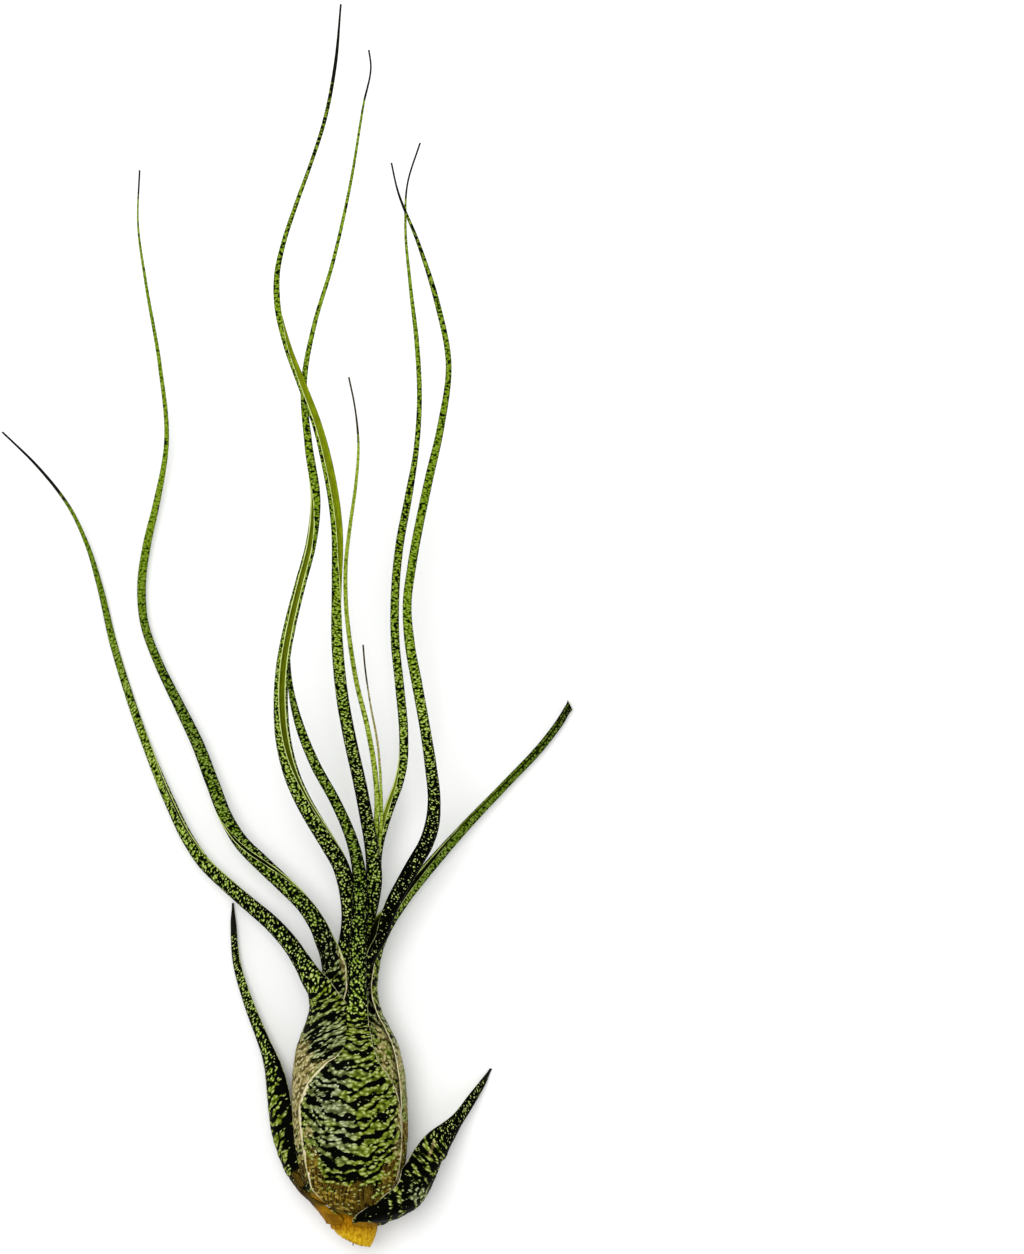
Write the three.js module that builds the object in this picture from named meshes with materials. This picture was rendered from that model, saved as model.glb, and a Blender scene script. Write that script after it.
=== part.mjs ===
// Tillandsia butzii, an air plant lying on a surface.
// A short stem carries twelve leaves. Each leaf is one solid: a spoon-shaped sheath that hugs the
// bulb, then a long rolled blade with a groove along its inner side.
// Millimetres. The origin is the flat spot under the bulb, +Y runs along the bulb's axis towards
// the leaf tips, and +Z points up from the surface.

import * as THREE from 'three';

// Driving dimensions of the bulb

const AXIS_HEIGHT = 10.2;       // height of the bulb's axis above the surface
const AXIS_LEAN = -0.035;       // sideways drift of the axis per millimetre of length
const BULB_FLATTENING = 0.92;   // the bulb is a little flatter than it is wide
const WALL = 0.6;               // thickness of a leaf
const LAYER_STEP = 0.9;         // from one sheath layer to the next: a wall and a gap of 0.3
const FOOT_LENGTH = 4.5;        // length over which a sheath curves out from the stem
const STEM_GAP = 0.3;           // clearance between the stem and the foot of a sheath
const THINNEST_BLADE = 0.66;    // width below which no blade tapers
const FREE_RADIUS = 2.5;        // a leaf with a section smaller than this stands free of the bulb
const HELD_RADIUS = 5.5;        // a leaf with a section larger than this still hugs the bulb
const LEAST_GROOVE = 0.3;       // the groove is never narrower than this share of the blade

// Radius of the second sheath layer along the axis: [y, radius]
const BULB_PROFILE = [
  [-23, 7.4], [-18, 9.3], [-14, 10.1], [-10, 10.8], [-6, 11.3], [-2, 11.5], [2, 11.5],
  [6, 11.35], [10, 10.8], [13, 10.1], [17, 8.3], [21, 6.4], [25, 5.4],
];

// Radius of the stem along the axis: [y, radius]
const STEM_PROFILE = [
  [-26, 3.6], [-24, 4.5], [-21, 4.7], [-16, 4.4], [-12, 3.9], [-8, 3.4], [-4, 2.8], [0, 2.2],
  [4, 1.5], [6.4, 0.8],
];
const STEM_TIP = 6.9;
const STEM_SIDES = 20;
const CUT_SLOPE = -0.44;        // slant of the cut end: lengthwise fall per millimetre across

// Ring spacing along a leaf
const SHEATH_STEP = 4;
const NECK_STEP = 3.2;
const BLADE_STEP = 9;
const NECK_END = 56;
const FOOT_RINGS = [0, 0.1, 0.3, 0.6];  // rings in the curved foot, as shares of its length
const LAST_GAP = 1;             // no ring stands closer than this before the tip
const SLOPE_REACH = 0.05;       // a slope is measured this far before and after a ring
const POINTS_ACROSS = 8;
const POINTS_ACROSS_YOUNG = 6;

// Colours

const LEAF_GREEN = { color: 0x4d6b22, roughness: 0.62, metalness: 0 };
const LEAF_DARK = { color: 0x33401f, roughness: 0.66, metalness: 0 };
const LEAF_YOUNG = { color: 0x86a83a, roughness: 0.58, metalness: 0 };
const STEM_AMBER = { color: 0xb9852f, roughness: 0.85, metalness: 0 };

// Leaves, outermost first.
// foot: where the sheath meets the stem. layer: sheath layer, 0 is the outline of the bulb.
// leave: where the leaf starts to part from the bulb.
// turn: [y, facing, half], the way the back of the leaf faces (0 up, 90 to +X, degrees) and half
// the angle that its curved section spans.
// path: [y, x, z, width], the middle of the curved section.

const LEAVES = [
  {
    name: 'leaf_base_right', look: LEAF_DARK, foot: -22.9, layer: 1, leave: -22.2,
    turn: [
      [-22.9, 68, 60], [-21.4, 65, 66], [-19.6, 68, 66], [-17, 73, 60], [-14, 75, 72], [-11, 75, 88],
      [-5, 65, 105], [8, 60, 125],
    ],
    path: [
      [-21.4, 1.6, 10.4, 17], [-19.6, 4.2, 10.4, 18], [-17, 7.2, 10.2, 16.4], [-14, 9.9, 9.8, 14],
      [-11, 12.7, 9, 10.8], [-8, 15.8, 7.8, 7.6], [-5, 18.8, 6.4, 4.7], [-2, 21.5, 4.4, 2.7],
      [2, 24.4, 2.4, 2], [5, 26.5, 1, 1.3], [7.7, 28.1, 0.3, 0.5],
    ],
  },
  {
    name: 'leaf_base_left', look: LEAF_DARK, foot: -22.6, layer: 1, leave: -22.2,
    turn: [
      [-22.6, -88, 54], [-22, -91, 49], [-21.2, -99, 37], [-20.2, -98, 38], [-17, -98, 38],
      [-14, -88, 46], [-9, -82, 66], [-4, -75, 84], [1, -74, 92], [9, -72, 102], [20, -80, 118],
      [41, -90, 130],
    ],
    path: [
      [-19.4, -0.4, 9.9, 14.6], [-17, -2.8, 9, 14], [-14.2, -6.3, 7.6, 11.2], [-9.3, -9.5, 6, 9.6],
      [-4.4, -11.6, 4.9, 8.5], [0.8, -12.9, 4.1, 7.4], [4.8, -13.9, 3.4, 6.2], [8.8, -15.2, 2.9, 4.6],
      [12.8, -16.9, 2.5, 3.3], [20.8, -20.2, 1.9, 2.5], [28.8, -22.7, 1.4, 1.95], [36.8, -23.5, 1, 1.4],
      [41, -23.7, 0.7, 0.5],
    ],
  },
  {
    name: 'leaf_front', look: LEAF_GREEN, foot: -21, layer: 1, leave: 10,
    turn: [
      [-21, 0, 52], [-15, 1, 50], [-7, 2.5, 55], [0, 0.5, 55], [4, 2, 49], [7, 3, 40], [9.8, 5.5, 28],
      [12, 10, 19], [14, 10, 16], [17, 8, 24], [21, 4, 50], [25, 2, 95], [33, 0, 115], [50, 0, 130],
      [91, 0, 150],
    ],
    path: [
      [14, 0.3, 11.4, 19.8], [17.5, 1.2, 14, 10], [21, 1.5, 15.2, 5.4], [25.4, 1.6, 15.7, 3.7],
      [33.4, 1.7, 15.8, 3.45], [41.4, 2.1, 16.5, 3.2], [47.4, 2, 17.6, 2.8], [53.4, 0.8, 19.2, 2.4],
      [61.4, -2.4, 22, 2.1], [69.3, -6.6, 24.7, 2], [77.3, -9.7, 26.8, 1.7], [85.2, -11.4, 28, 1],
      [91, -11.6, 28.6, 0.4],
    ],
  },
  {
    name: 'leaf_left_long', look: LEAF_GREEN, foot: -18.8, layer: 0, leave: 15,
    turn: [
      [-18.8, -77.5, 67], [15, -77.5, 67], [20, -76, 70], [23.6, -68, 86], [26, -58, 106],
      [33, -58, 124], [41, -75, 130], [50, -115, 135], [60, -135, 135], [136, -120, 150],
    ],
    path: [
      [18, -0.9, 10.3, 15.6], [21, -2, 10.7, 12.2], [23.6, -4.4, 11.4, 8.2], [26, -7, 11.6, 5.2],
      [29.2, -9.2, 10.8, 3.9], [33.1, -11.9, 9.7, 3.4], [37.1, -15.6, 8.3, 3.2], [41, -20.2, 7, 3],
      [45, -24.9, 5.8, 2.8], [48.9, -29.1, 4.7, 2.65], [52.9, -32, 3.9, 2.5], [60.9, -36.1, 2.6, 2.2],
      [72.9, -41.1, 1.5, 1.75], [85, -45.3, 0.9, 1.6], [93, -47.7, 0.75, 1.5], [105, -50.5, 1.8, 1.2],
      [113, -52.9, 3.2, 0.9], [121, -56.7, 5, 0.6], [129, -63, 7, 0.4], [135.4, -69.5, 9, 0.2],
    ],
  },
  {
    name: 'leaf_right_low', look: LEAF_GREEN, foot: -18.4, layer: 0, leave: 19,
    turn: [
      [-18.4, 138, 73.5], [19, 138, 73.5], [30, 146, 80], [36, 152, 92], [43, 150, 118], [60, 140, 135],
      [81, 135, 140],
    ],
    path: [
      [24, -0.1, 10, 11.2], [28.5, 1.3, 9.4, 9.1], [32.5, 3.2, 8.7, 7], [36, 5.7, 8, 4.9],
      [39.8, 8.7, 7.2, 3.4], [43.4, 11.6, 6.3, 2.8], [49, 16.3, 5.2, 2.5], [56.9, 23.4, 3.8, 2],
      [64.9, 31.1, 2.8, 1.7], [72.9, 38.6, 2.1, 1.6], [77, 41.6, 1.8, 1.45], [80.8, 43.8, 1.5, 1.2],
    ],
  },
  {
    name: 'leaf_left_upper', look: LEAF_GREEN, foot: -16.2, layer: -1, leave: 20,
    turn: [
      [-16.2, -92, 76], [20, -90, 80], [26, -84, 88], [30, -70, 96], [34, -56, 110], [41, -60, 128],
      [50, -95, 132], [62, -130, 135], [187, -120, 150],
    ],
    path: [
      [24, -0.9, 10.6, 9.3], [28, -1.9, 11, 7.4], [31, -3.2, 11.6, 5.7], [33.6, -4.6, 11.9, 4.5],
      [37.2, -6.4, 12, 3.7], [41.2, -9.2, 11.4, 3.35], [45.1, -13.2, 10.3, 3.3], [49.1, -17.5, 9, 3.3],
      [53, -21.5, 7.8, 3.05], [57, -24.2, 6.8, 2.8], [65, -27.6, 5, 2.7], [73, -30.7, 3.8, 2.5],
      [81, -34.6, 3, 2.15], [89, -38.5, 2.5, 1.8], [97, -41.4, 2.1, 1.7], [105, -42, 2.1, 1.75],
      [113, -40.9, 2.7, 1.65], [121, -39, 3.5, 1.4], [133, -36.9, 5, 1], [149, -38.1, 8, 0.78],
      [165, -40.7, 11, 0.6], [177, -42.2, 12.9, 0.4], [187.4, -41.8, 14.2, 0.2],
    ],
  },
  {
    name: 'leaf_right_long', look: LEAF_GREEN, foot: -15.8, layer: -1, leave: 20,
    turn: [
      [-15.8, 92, 80], [22, 92, 80], [30, 90, 84], [36, 80, 108], [44, 60, 128], [60, 40, 135],
      [188, 20, 150],
    ],
    path: [
      [24, -0.4, 10.5, 9.2], [28, 0.9, 10.9, 7.3], [31.6, 3.3, 11.8, 4.9], [34.8, 5.7, 12.2, 3.6],
      [38, 6.9, 13, 3.4], [41.3, 8.4, 13.9, 3.3], [45.3, 10.6, 15.1, 3.1], [49.3, 12.9, 16.5, 3.05],
      [53.3, 15.2, 17.8, 3], [57.3, 16.5, 19.2, 2.9], [61.3, 16.9, 20.5, 2.6], [69.3, 16.2, 23, 2.35],
      [77.3, 15, 25.5, 2.1], [85.2, 13.6, 27.5, 2.1], [93.1, 12.2, 29.5, 2], [101, 11.7, 30.8, 1.75],
      [108.8, 12.7, 32, 1.75], [124.5, 15.8, 33.6, 1.7], [136, 18.4, 34.5, 1.45], [148, 19.9, 34.8, 1.15],
      [159.9, 17.7, 34.2, 1.1], [171.7, 14, 33, 0.75], [182.8, 9.7, 31.6, 0.4], [187.8, 8.6, 31, 0.2],
    ],
  },
  {
    name: 'leaf_left_inner', look: LEAF_GREEN, foot: -13.2, layer: -2, leave: 21,
    turn: [
      [-13.2, -30, 88], [24, -30, 86], [29, -44, 84], [33, -60, 88], [37, -64, 100], [41, -60, 118],
      [50, -50, 130], [75, -120, 135], [110, -60, 140], [209, 0, 150],
    ],
    path: [
      [25, -0.5, 10.6, 7], [29, -0.2, 11, 6.2], [33, 0.2, 11.4, 5.2], [37, 0.3, 12, 4.1],
      [41, 0, 12.6, 3.5], [45.3, -0.7, 13.8, 3.4], [49.3, -1.9, 15.4, 3.35], [53.3, -4.1, 17.6, 3.3],
      [57.4, -6.5, 20, 3.3], [61.4, -8.7, 22.3, 3.25], [65.4, -10.5, 24.7, 3.2], [73.4, -12.6, 29.2, 3.1],
      [81.3, -13.1, 33.3, 2.85], [89.2, -12.6, 35.8, 2.6], [97, -11.1, 37.7, 2.4], [104.8, -9.1, 39, 2.2],
      [112.7, -7, 39.6, 2.1], [120.5, -6.1, 40, 2], [132.2, -7.5, 39.5, 1.6], [144, -8.4, 39, 1.2],
      [155, -6.5, 39.1, 0.92], [167.5, -2.8, 39.5, 0.75], [183, 0.7, 39.8, 0.6], [198.8, 3.3, 39.6, 0.45],
      [206.6, 4.7, 39.2, 0.3], [209.4, 4.3, 39, 0.2],
    ],
  },
  {
    name: 'leaf_longest', look: LEAF_GREEN, foot: -10.6, layer: -3.15, leave: 21,
    turn: [[-10.6, 5, 78], [46, 5, 78], [52, 0, 100], [60, 0, 125], [218, 0, 150]],
    path: [
      [25, 0, 10.6, 4.9], [30, 0.9, 10.8, 4], [34, 1.9, 11, 3.9], [38, 3.1, 11.4, 3.7],
      [42, 4.2, 12, 3.5], [46, 4.8, 12.7, 3.4], [50, 4.7, 13.9, 3], [54, 4.2, 15.4, 2.75],
      [58.1, 3.5, 17.1, 2.65], [65.3, 2.2, 20.4, 2.6], [73.3, 0.5, 24.2, 2.55], [81.2, -0.9, 28, 2.5],
      [93.1, -1.9, 33.8, 2.45], [104.8, -1.8, 39, 2.35], [116.5, -1.9, 42.3, 2.3], [128.2, -3.7, 45, 2.2],
      [136, -5.7, 46.2, 1.9], [143.7, -8.6, 47.4, 1.75], [151.5, -11.5, 47.8, 1.5], [159.3, -13.3, 47.9, 1.3],
      [165, -13.4, 47.6, 1.15], [171, -12.2, 46.9, 0.95], [178.8, -9.7, 46, 0.85], [186.7, -6.9, 45, 0.75],
      [194.6, -4.4, 44, 0.68], [206, -2.2, 42.8, 0.5], [218.1, -1.1, 42, 0.2],
    ],
  },
  {
    name: 'leaf_right_inner', look: LEAF_GREEN, foot: -10.3, layer: -3.15, leave: 21,
    turn: [
      [-10.3, 185, 78], [46, 185, 78], [52, 180, 100], [60, 175, 125], [90, 140, 135], [125, 60, 140],
      [192, 20, 150],
    ],
    path: [
      [25, 0, 10.6, 4.9], [30, 0.9, 10.8, 4], [34, 1.9, 11, 3.9], [38, 3.1, 11.4, 3.7],
      [42, 4.2, 11.9, 3.4], [46, 4.9, 12.3, 3.1], [50, 5.1, 12.4, 2.5], [54, 5.9, 12.4, 2.1],
      [58, 7.1, 12.8, 2], [61.2, 8.2, 13.5, 1.95], [65.2, 9.7, 14.5, 1.92], [69.2, 10.6, 15.5, 1.9],
      [75, 10.8, 16.8, 1.87], [85.1, 10, 18.8, 1.8], [93.1, 9.2, 19.9, 1.75], [101, 9.1, 20.6, 1.7],
      [112.9, 10.1, 21.5, 1.65], [122, 11.8, 22, 1.5], [131, 13.3, 22, 1.1], [141, 14, 21.9, 1],
      [152.5, 13.5, 21.4, 0.95], [164, 12.2, 20.8, 0.7], [176.3, 11.2, 20.2, 0.5], [184.3, 11.6, 19.7, 0.35],
      [192.5, 14.1, 19, 0.2],
    ],
  },
  {
    name: 'leaf_young', look: LEAF_YOUNG, foot: -7.6, layer: -6.5, leave: 8,
    turn: [[-7.6, -90, 95], [14, -90, 95], [22, -90, 130], [50, -40, 130], [146, 0, 150]],
    path: [
      [13, -0.5, 10.4, 6.4], [17, -0.6, 10.4, 3.6], [21, -0.7, 10.5, 1.9], [25, -0.5, 10.6, 1.2],
      [30, 0.4, 10.8, 1.1], [34, 1.4, 11, 1.1], [38, 2.6, 11.4, 1.1], [42, 3.7, 12, 1],
      [46, 4.25, 12.6, 1.05], [50, 4.5, 13.1, 1.1], [56, 5.2, 13.6, 1.1], [61.2, 5.5, 14.5, 1.1],
      [69.2, 4.9, 16.8, 1.05], [77.2, 3.5, 19, 1], [85.1, 1.6, 21, 0.95], [93.1, 0.3, 22.6, 0.9],
      [101, -0.5, 23.8, 0.85], [108.9, -0.5, 25, 0.8], [116.8, 0.4, 25.4, 0.72], [124.7, 1.5, 25.8, 0.64],
      [132.6, 2, 26, 0.5], [140.5, 1.2, 26, 0.32], [145.8, 0.1, 26, 0.2],
    ],
  },
  {
    name: 'leaf_youngest', look: LEAF_YOUNG, foot: 7.3, layer: 0, leave: 7.3,
    turn: [[7.3, 90, 130], [93, 90, 150]],
    path: [
      [10, -0.2, 10.3, 0.7], [17, 0.1, 10.4, 0.7], [21, 0.4, 10.5, 0.7], [25, 0.6, 10.6, 0.7],
      [30, 1.4, 10.8, 0.7], [34, 2.4, 11, 0.7], [38, 3.6, 11.4, 0.7], [42, 4.7, 11.8, 0.7],
      [46, 5.3, 12.1, 0.7], [50, 5.5, 12.6, 0.7], [56, 6.2, 13.7, 0.7], [61, 6.3, 14.2, 0.7],
      [65.2, 6.2, 14.6, 0.6], [73.2, 5.6, 16, 0.5], [81.1, 4.2, 17.8, 0.4], [89.1, 3.1, 19.3, 0.25],
      [92.9, 2.8, 20, 0.2],
    ],
  },
];

// Smooth curve through rows sorted by their first value: the slope at each row is the mean of its
// two neighbours, and where steady is set it is held down so that the curve never overshoots.

function along(rows, column, y, steady) {
  const last = rows.length - 1;
  if (y <= rows[0][0]) return rows[0][column];
  if (y >= rows[last][0]) return rows[last][column];
  const secant = (i) => (rows[i + 1][column] - rows[i][column]) / (rows[i + 1][0] - rows[i][0]);
  const slope = (i) => {
    if (i === 0 || i === last) return steady ? 0 : secant(i === 0 ? 0 : last - 1);
    const before = secant(i - 1);
    const after = secant(i);
    if (!steady) {
      const gapBefore = rows[i][0] - rows[i - 1][0];
      const gapAfter = rows[i + 1][0] - rows[i][0];
      return (before * gapAfter + after * gapBefore) / (gapBefore + gapAfter);
    }
    return before * after <= 0 ? 0 : (2 * before * after) / (before + after);
  };
  let i = 0;
  while (rows[i + 1][0] < y) i++;
  const span = rows[i + 1][0] - rows[i][0];
  const t = (y - rows[i][0]) / span;
  const t2 = t * t;
  const t3 = t2 * t;
  return (2 * t3 - 3 * t2 + 1) * rows[i][column] + (t3 - 2 * t2 + t) * span * slope(i)
    + (3 * t2 - 2 * t3) * rows[i + 1][column] + (t3 - t2) * span * slope(i + 1);
}

// Bulb axis, and the radius of a sheath that curves out from the stem to its layer

const axisX = (y) => AXIS_LEAN * y;

function sheathRadius(leaf, y) {
  const full = along(BULB_PROFILE, 1, y, true) + leaf.layer * LAYER_STEP;
  const start = along(STEM_PROFILE, 1, leaf.foot, true) + STEM_GAP + WALL;
  const u = Math.min((y - leaf.foot) / FOOT_LENGTH, 1);
  return start + (full - start) * Math.sqrt(Math.max(1 - (1 - u) ** 2, 0));
}

// Section of a leaf at y: its middle, radius, facing and half angle

function sectionAt(leaf, y) {
  const facing = THREE.MathUtils.degToRad(along(leaf.turn, 1, y, true));
  const half = THREE.MathUtils.degToRad(along(leaf.turn, 2, y, true));
  if (leaf.leave > leaf.foot && y <= leaf.leave) {
    return { x: axisX(y), z: AXIS_HEIGHT, radius: sheathRadius(leaf, y), facing, half };
  }
  const width = Math.max(along(leaf.rows, 3, y, true), THINNEST_BLADE);
  return { x: along(leaf.rows, 1, y), z: along(leaf.rows, 2, y), radius: width / 2, facing, half };
}

// Rows of a leaf's path, begun on the axis; the innermost leaf has no sheath

function pathRows(leaf) {
  if (leaf.leave === leaf.foot) return [[leaf.foot, axisX(leaf.foot), AXIS_HEIGHT, 0], ...leaf.path];
  const start = Math.max(leaf.foot, leaf.leave - SHEATH_STEP);
  const held = [start, leaf.leave].map((y) => [y, axisX(y), AXIS_HEIGHT, 2 * sheathRadius(leaf, y)]);
  return [...held, ...leaf.path];
}

// Positions of the rings along a leaf: close at the foot, at the neck and in bends

function ringPositions(leaf) {
  const tip = leaf.path[leaf.path.length - 1][0];
  const list = [];
  let y = leaf.foot;
  if (leaf.leave > leaf.foot + FOOT_LENGTH) {
    for (const part of FOOT_RINGS) list.push(leaf.foot + part * FOOT_LENGTH);
    y = leaf.foot + FOOT_LENGTH;
  }
  while (y < tip - LAST_GAP) {
    list.push(y);
    const here = sectionAt(leaf, y);
    const ahead = sectionAt(leaf, y + 1);
    const travel = Math.hypot(ahead.x - here.x, ahead.z - here.z, 1);
    const step = y < leaf.leave ? SHEATH_STEP : y < NECK_END ? NECK_STEP : BLADE_STEP;
    y += step / travel;
  }
  list.push(tip);
  return list;
}

// Closed solid of one leaf: rings of outer and inner points, joined and capped

function leafGeometry(leaf, pointsAcross) {
  leaf.rows = pathRows(leaf);
  const positions = [];
  const rings = ringPositions(leaf);
  for (const y of rings) {
    const s = sectionAt(leaf, y);
    const before = sectionAt(leaf, y - SLOPE_REACH);
    const after = sectionAt(leaf, y + SLOPE_REACH);
    const free = THREE.MathUtils.clamp((HELD_RADIUS - s.radius) / (HELD_RADIUS - FREE_RADIUS), 0, 1);
    const course = new THREE.Vector3(after.x - before.x, 2 * SLOPE_REACH, after.z - before.z);
    const tangent = new THREE.Vector3(0, 1, 0).lerp(course.normalize(), free).normalize();
    const back = new THREE.Vector3(Math.sin(s.facing), 0, Math.cos(s.facing));
    back.addScaledVector(tangent, -back.dot(tangent)).normalize();
    const side = new THREE.Vector3().crossVectors(tangent, back);
    const flare = (after.radius - before.radius) / (2 * SLOPE_REACH) * (1 - free);
    const slant = Math.hypot(1, flare);
    const innerRadius = Math.max(s.radius - WALL / slant, LEAST_GROOVE * s.radius);
    const shift = WALL * flare / slant;
    const flatten = THREE.MathUtils.lerp(BULB_FLATTENING, 1, free);
    const loop = [];
    for (let j = 0; j < pointsAcross; j++) loop.push([j, s.radius, 0]);
    for (let j = pointsAcross - 1; j >= 0; j--) loop.push([j, innerRadius, shift]);
    for (const [j, radius, slide] of loop) {
      const angle = s.half * (2 * j / (pointsAcross - 1) - 1);
      const out = back.clone().multiplyScalar(Math.cos(angle)).addScaledVector(side, Math.sin(angle));
      out.multiplyScalar(radius);
      positions.push(
        s.x + out.x + slide * tangent.x,
        y + out.y + slide * tangent.y,
        Math.max(s.z + out.z * flatten + slide * tangent.z, 0),
      );
    }
  }
  const around = 2 * pointsAcross;
  const index = [];
  for (let i = 0; i + 1 < rings.length; i++) {
    for (let k = 0; k < around; k++) {
      const a = i * around + k;
      const b = i * around + (k + 1) % around;
      index.push(a, b, b + around, a, b + around, a + around);
    }
  }
  const lastRing = (rings.length - 1) * around;
  for (let j = 0; j + 1 < pointsAcross; j++) {
    const a = j;
    const b = j + 1;
    const c = around - 2 - j;
    const d = around - 1 - j;
    index.push(a, c, b, a, d, c);
    index.push(lastRing + a, lastRing + b, lastRing + c, lastRing + a, lastRing + c, lastRing + d);
  }
  const geometry = new THREE.BufferGeometry();
  geometry.setAttribute('position', new THREE.Float32BufferAttribute(positions, 3));
  geometry.setIndex(index);
  return geometry;
}

// Stem: a tapering turned shape with a slanted cut at its lower end

function stemGeometry() {
  const bottom = STEM_PROFILE[0];
  const profile = [new THREE.Vector2(0, bottom[0])];
  for (const [y, radius] of STEM_PROFILE) profile.push(new THREE.Vector2(radius, y));
  profile.push(new THREE.Vector2(0, STEM_TIP));
  const geometry = new THREE.LatheGeometry(profile, STEM_SIDES);
  const points = geometry.attributes.position;
  for (let i = 0; i < points.count; i++) {
    const atCut = points.getY(i) === bottom[0];
    if (atCut) points.setY(i, bottom[0] + CUT_SLOPE * points.getX(i));
    points.setX(i, points.getX(i) + axisX(points.getY(i)));
  }
  return geometry;
}

function addMesh(group, name, geometry, look) {
  const mesh = new THREE.Mesh(geometry, new THREE.MeshStandardMaterial(look));
  mesh.name = name;
  group.add(mesh);
  return mesh;
}

const plant = new THREE.Group();
addMesh(plant, 'stem', stemGeometry(), STEM_AMBER).position.z = AXIS_HEIGHT;
for (const leaf of LEAVES) {
  const pointsAcross = leaf.look === LEAF_YOUNG ? POINTS_ACROSS_YOUNG : POINTS_ACROSS;
  addMesh(plant, leaf.name, leafGeometry(leaf, pointsAcross), leaf.look);
}

export default plant;
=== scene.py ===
# Tillandsia butzii, an air plant that lies on a pale surface and is seen from straight above.
# A short woody stem carries twelve leaves. Each leaf is a spoon-shaped sheath that hugs the bulb and a long
# rolled blade. The plant's sizes are millimetres, made metres where a mesh is built, in the frame of the
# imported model. Those of the last section are metres.

import bpy
import numpy as np
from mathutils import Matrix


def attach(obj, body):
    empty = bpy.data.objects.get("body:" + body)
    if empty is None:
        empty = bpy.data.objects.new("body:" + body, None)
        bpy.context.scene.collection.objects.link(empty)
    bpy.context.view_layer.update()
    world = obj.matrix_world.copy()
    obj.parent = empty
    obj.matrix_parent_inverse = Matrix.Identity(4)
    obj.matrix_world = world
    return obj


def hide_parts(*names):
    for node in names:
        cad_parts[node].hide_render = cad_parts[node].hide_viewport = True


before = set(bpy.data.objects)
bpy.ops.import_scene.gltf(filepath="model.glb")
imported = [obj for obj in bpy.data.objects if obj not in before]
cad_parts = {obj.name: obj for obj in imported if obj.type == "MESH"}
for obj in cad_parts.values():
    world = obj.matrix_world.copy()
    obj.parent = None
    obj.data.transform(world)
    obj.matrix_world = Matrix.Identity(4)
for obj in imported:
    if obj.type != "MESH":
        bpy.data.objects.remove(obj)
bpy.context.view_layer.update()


# Stem
# The short woody stub under the leaves, cut across at a slant. It is amber outside and bright yellow at the
# fresh cut, with fibres along it and a few dark wisps of root left at the edge of the cut.

MM = 0.001
AXIS_HEIGHT = 10.2
AXIS_LEAN = -0.035
STEM_FOOT = -26.0
STEM_TOP = 6.6
STEM_TIP = 6.9
# Radius at each place along the axis
STEM_RADIUS = [
    [-26, 3.4], [-24, 4.5], [-21, 4.7], [-16, 4.4], [-12, 3.9], [-8, 3.4], [-4, 2.8], [0, 2.2], [4, 1.5],
    [6.4, 0.8],
]
STEM_SIDES = 128
STEM_STEP = 0.2
# Where the grain is read at the middles of the two ends
END_GRAIN = [[0, -9, 0], [0, 2, 0]]
# The cut: its slant and shift, where they begin, the face with its rim, rings and pits, and yellow flesh
CUT_SLOPE = -0.44
CUT_SHIFT = 0.35
CUT_START = -23.2
CUT_FACE = -25.9
CUT_RIM = 3.4
CUT_RINGS = 14
CUT_MIDDLE = 0.06
PIT_DEPTH = 0.35
YELLOW_FROM = -22.4
YELLOW_WHOLE = -25.4
# The fibres: how many stand round the stem, how high, how far they wander, the finer ones between them,
# where they end, and the size of their grain
FIBRES_ROUND = 26
FIBRE_HEIGHT = 0.035
FIBRE_WANDER = 0.02
FINE_FIBRE_RATE = 1.3
FINE_FIBRE_HEIGHT = 0.6
FIBRE_LEAST_RADIUS = 1.0
FIBRE_FADE = 0.7
GRAIN_ROUND = 5
GRAIN_LENGTH = 1.3
GRAIN_DEPTH = 0.3 * MM


def curve(rows, column, y, steady=False):
    """Smooth curve through rows sorted by their first value. A steady one never overshoots a row."""
    rows = np.asarray(rows, float)
    place, value = rows[:, 0], rows[:, column]
    gap = np.diff(place)
    secant = np.diff(value) / gap
    before, after = secant[:-1], secant[1:]
    slope = np.zeros(len(place))
    if steady:
        total = np.where(before * after > 0, before + after, 1)
        slope[1:-1] = np.where(before * after > 0, 2 * before * after / total, 0)
    else:
        slope[1:-1] = (before * gap[1:] + after * gap[:-1]) / (gap[1:] + gap[:-1])
        slope[0], slope[-1] = secant[0], secant[-1]
    y = np.clip(y, place[0], place[-1])
    i = np.clip(np.searchsorted(place, y, side="right") - 1, 0, len(gap) - 1)
    t = (y - place[i]) / gap[i]
    return (
        (2 * t**3 - 3 * t**2 + 1) * value[i] + (t**3 - 2 * t**2 + t) * gap[i] * slope[i]
        + (3 * t**2 - 2 * t**3) * value[i + 1] + (t**3 - t**2) * gap[i] * slope[i + 1]
    )


def rise(low, high, value):
    """0 up to low, 1 from high on, and a soft rise between them."""
    t = np.clip((value - low) / (high - low), 0, 1)
    return t * t * (3 - 2 * t)


def waves(place, seed, count, shortest, longest):
    """A soft irregular line, about -1 to 1, with waves between two lengths."""
    draw = np.random.default_rng(seed)
    length = np.exp(draw.uniform(np.log(shortest), np.log(longest), count))
    start = draw.uniform(0, 2 * np.pi, count)
    return np.sin(2 * np.pi * np.asarray(place)[..., None] / length + start).sum(-1) / np.sqrt(count)


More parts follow.
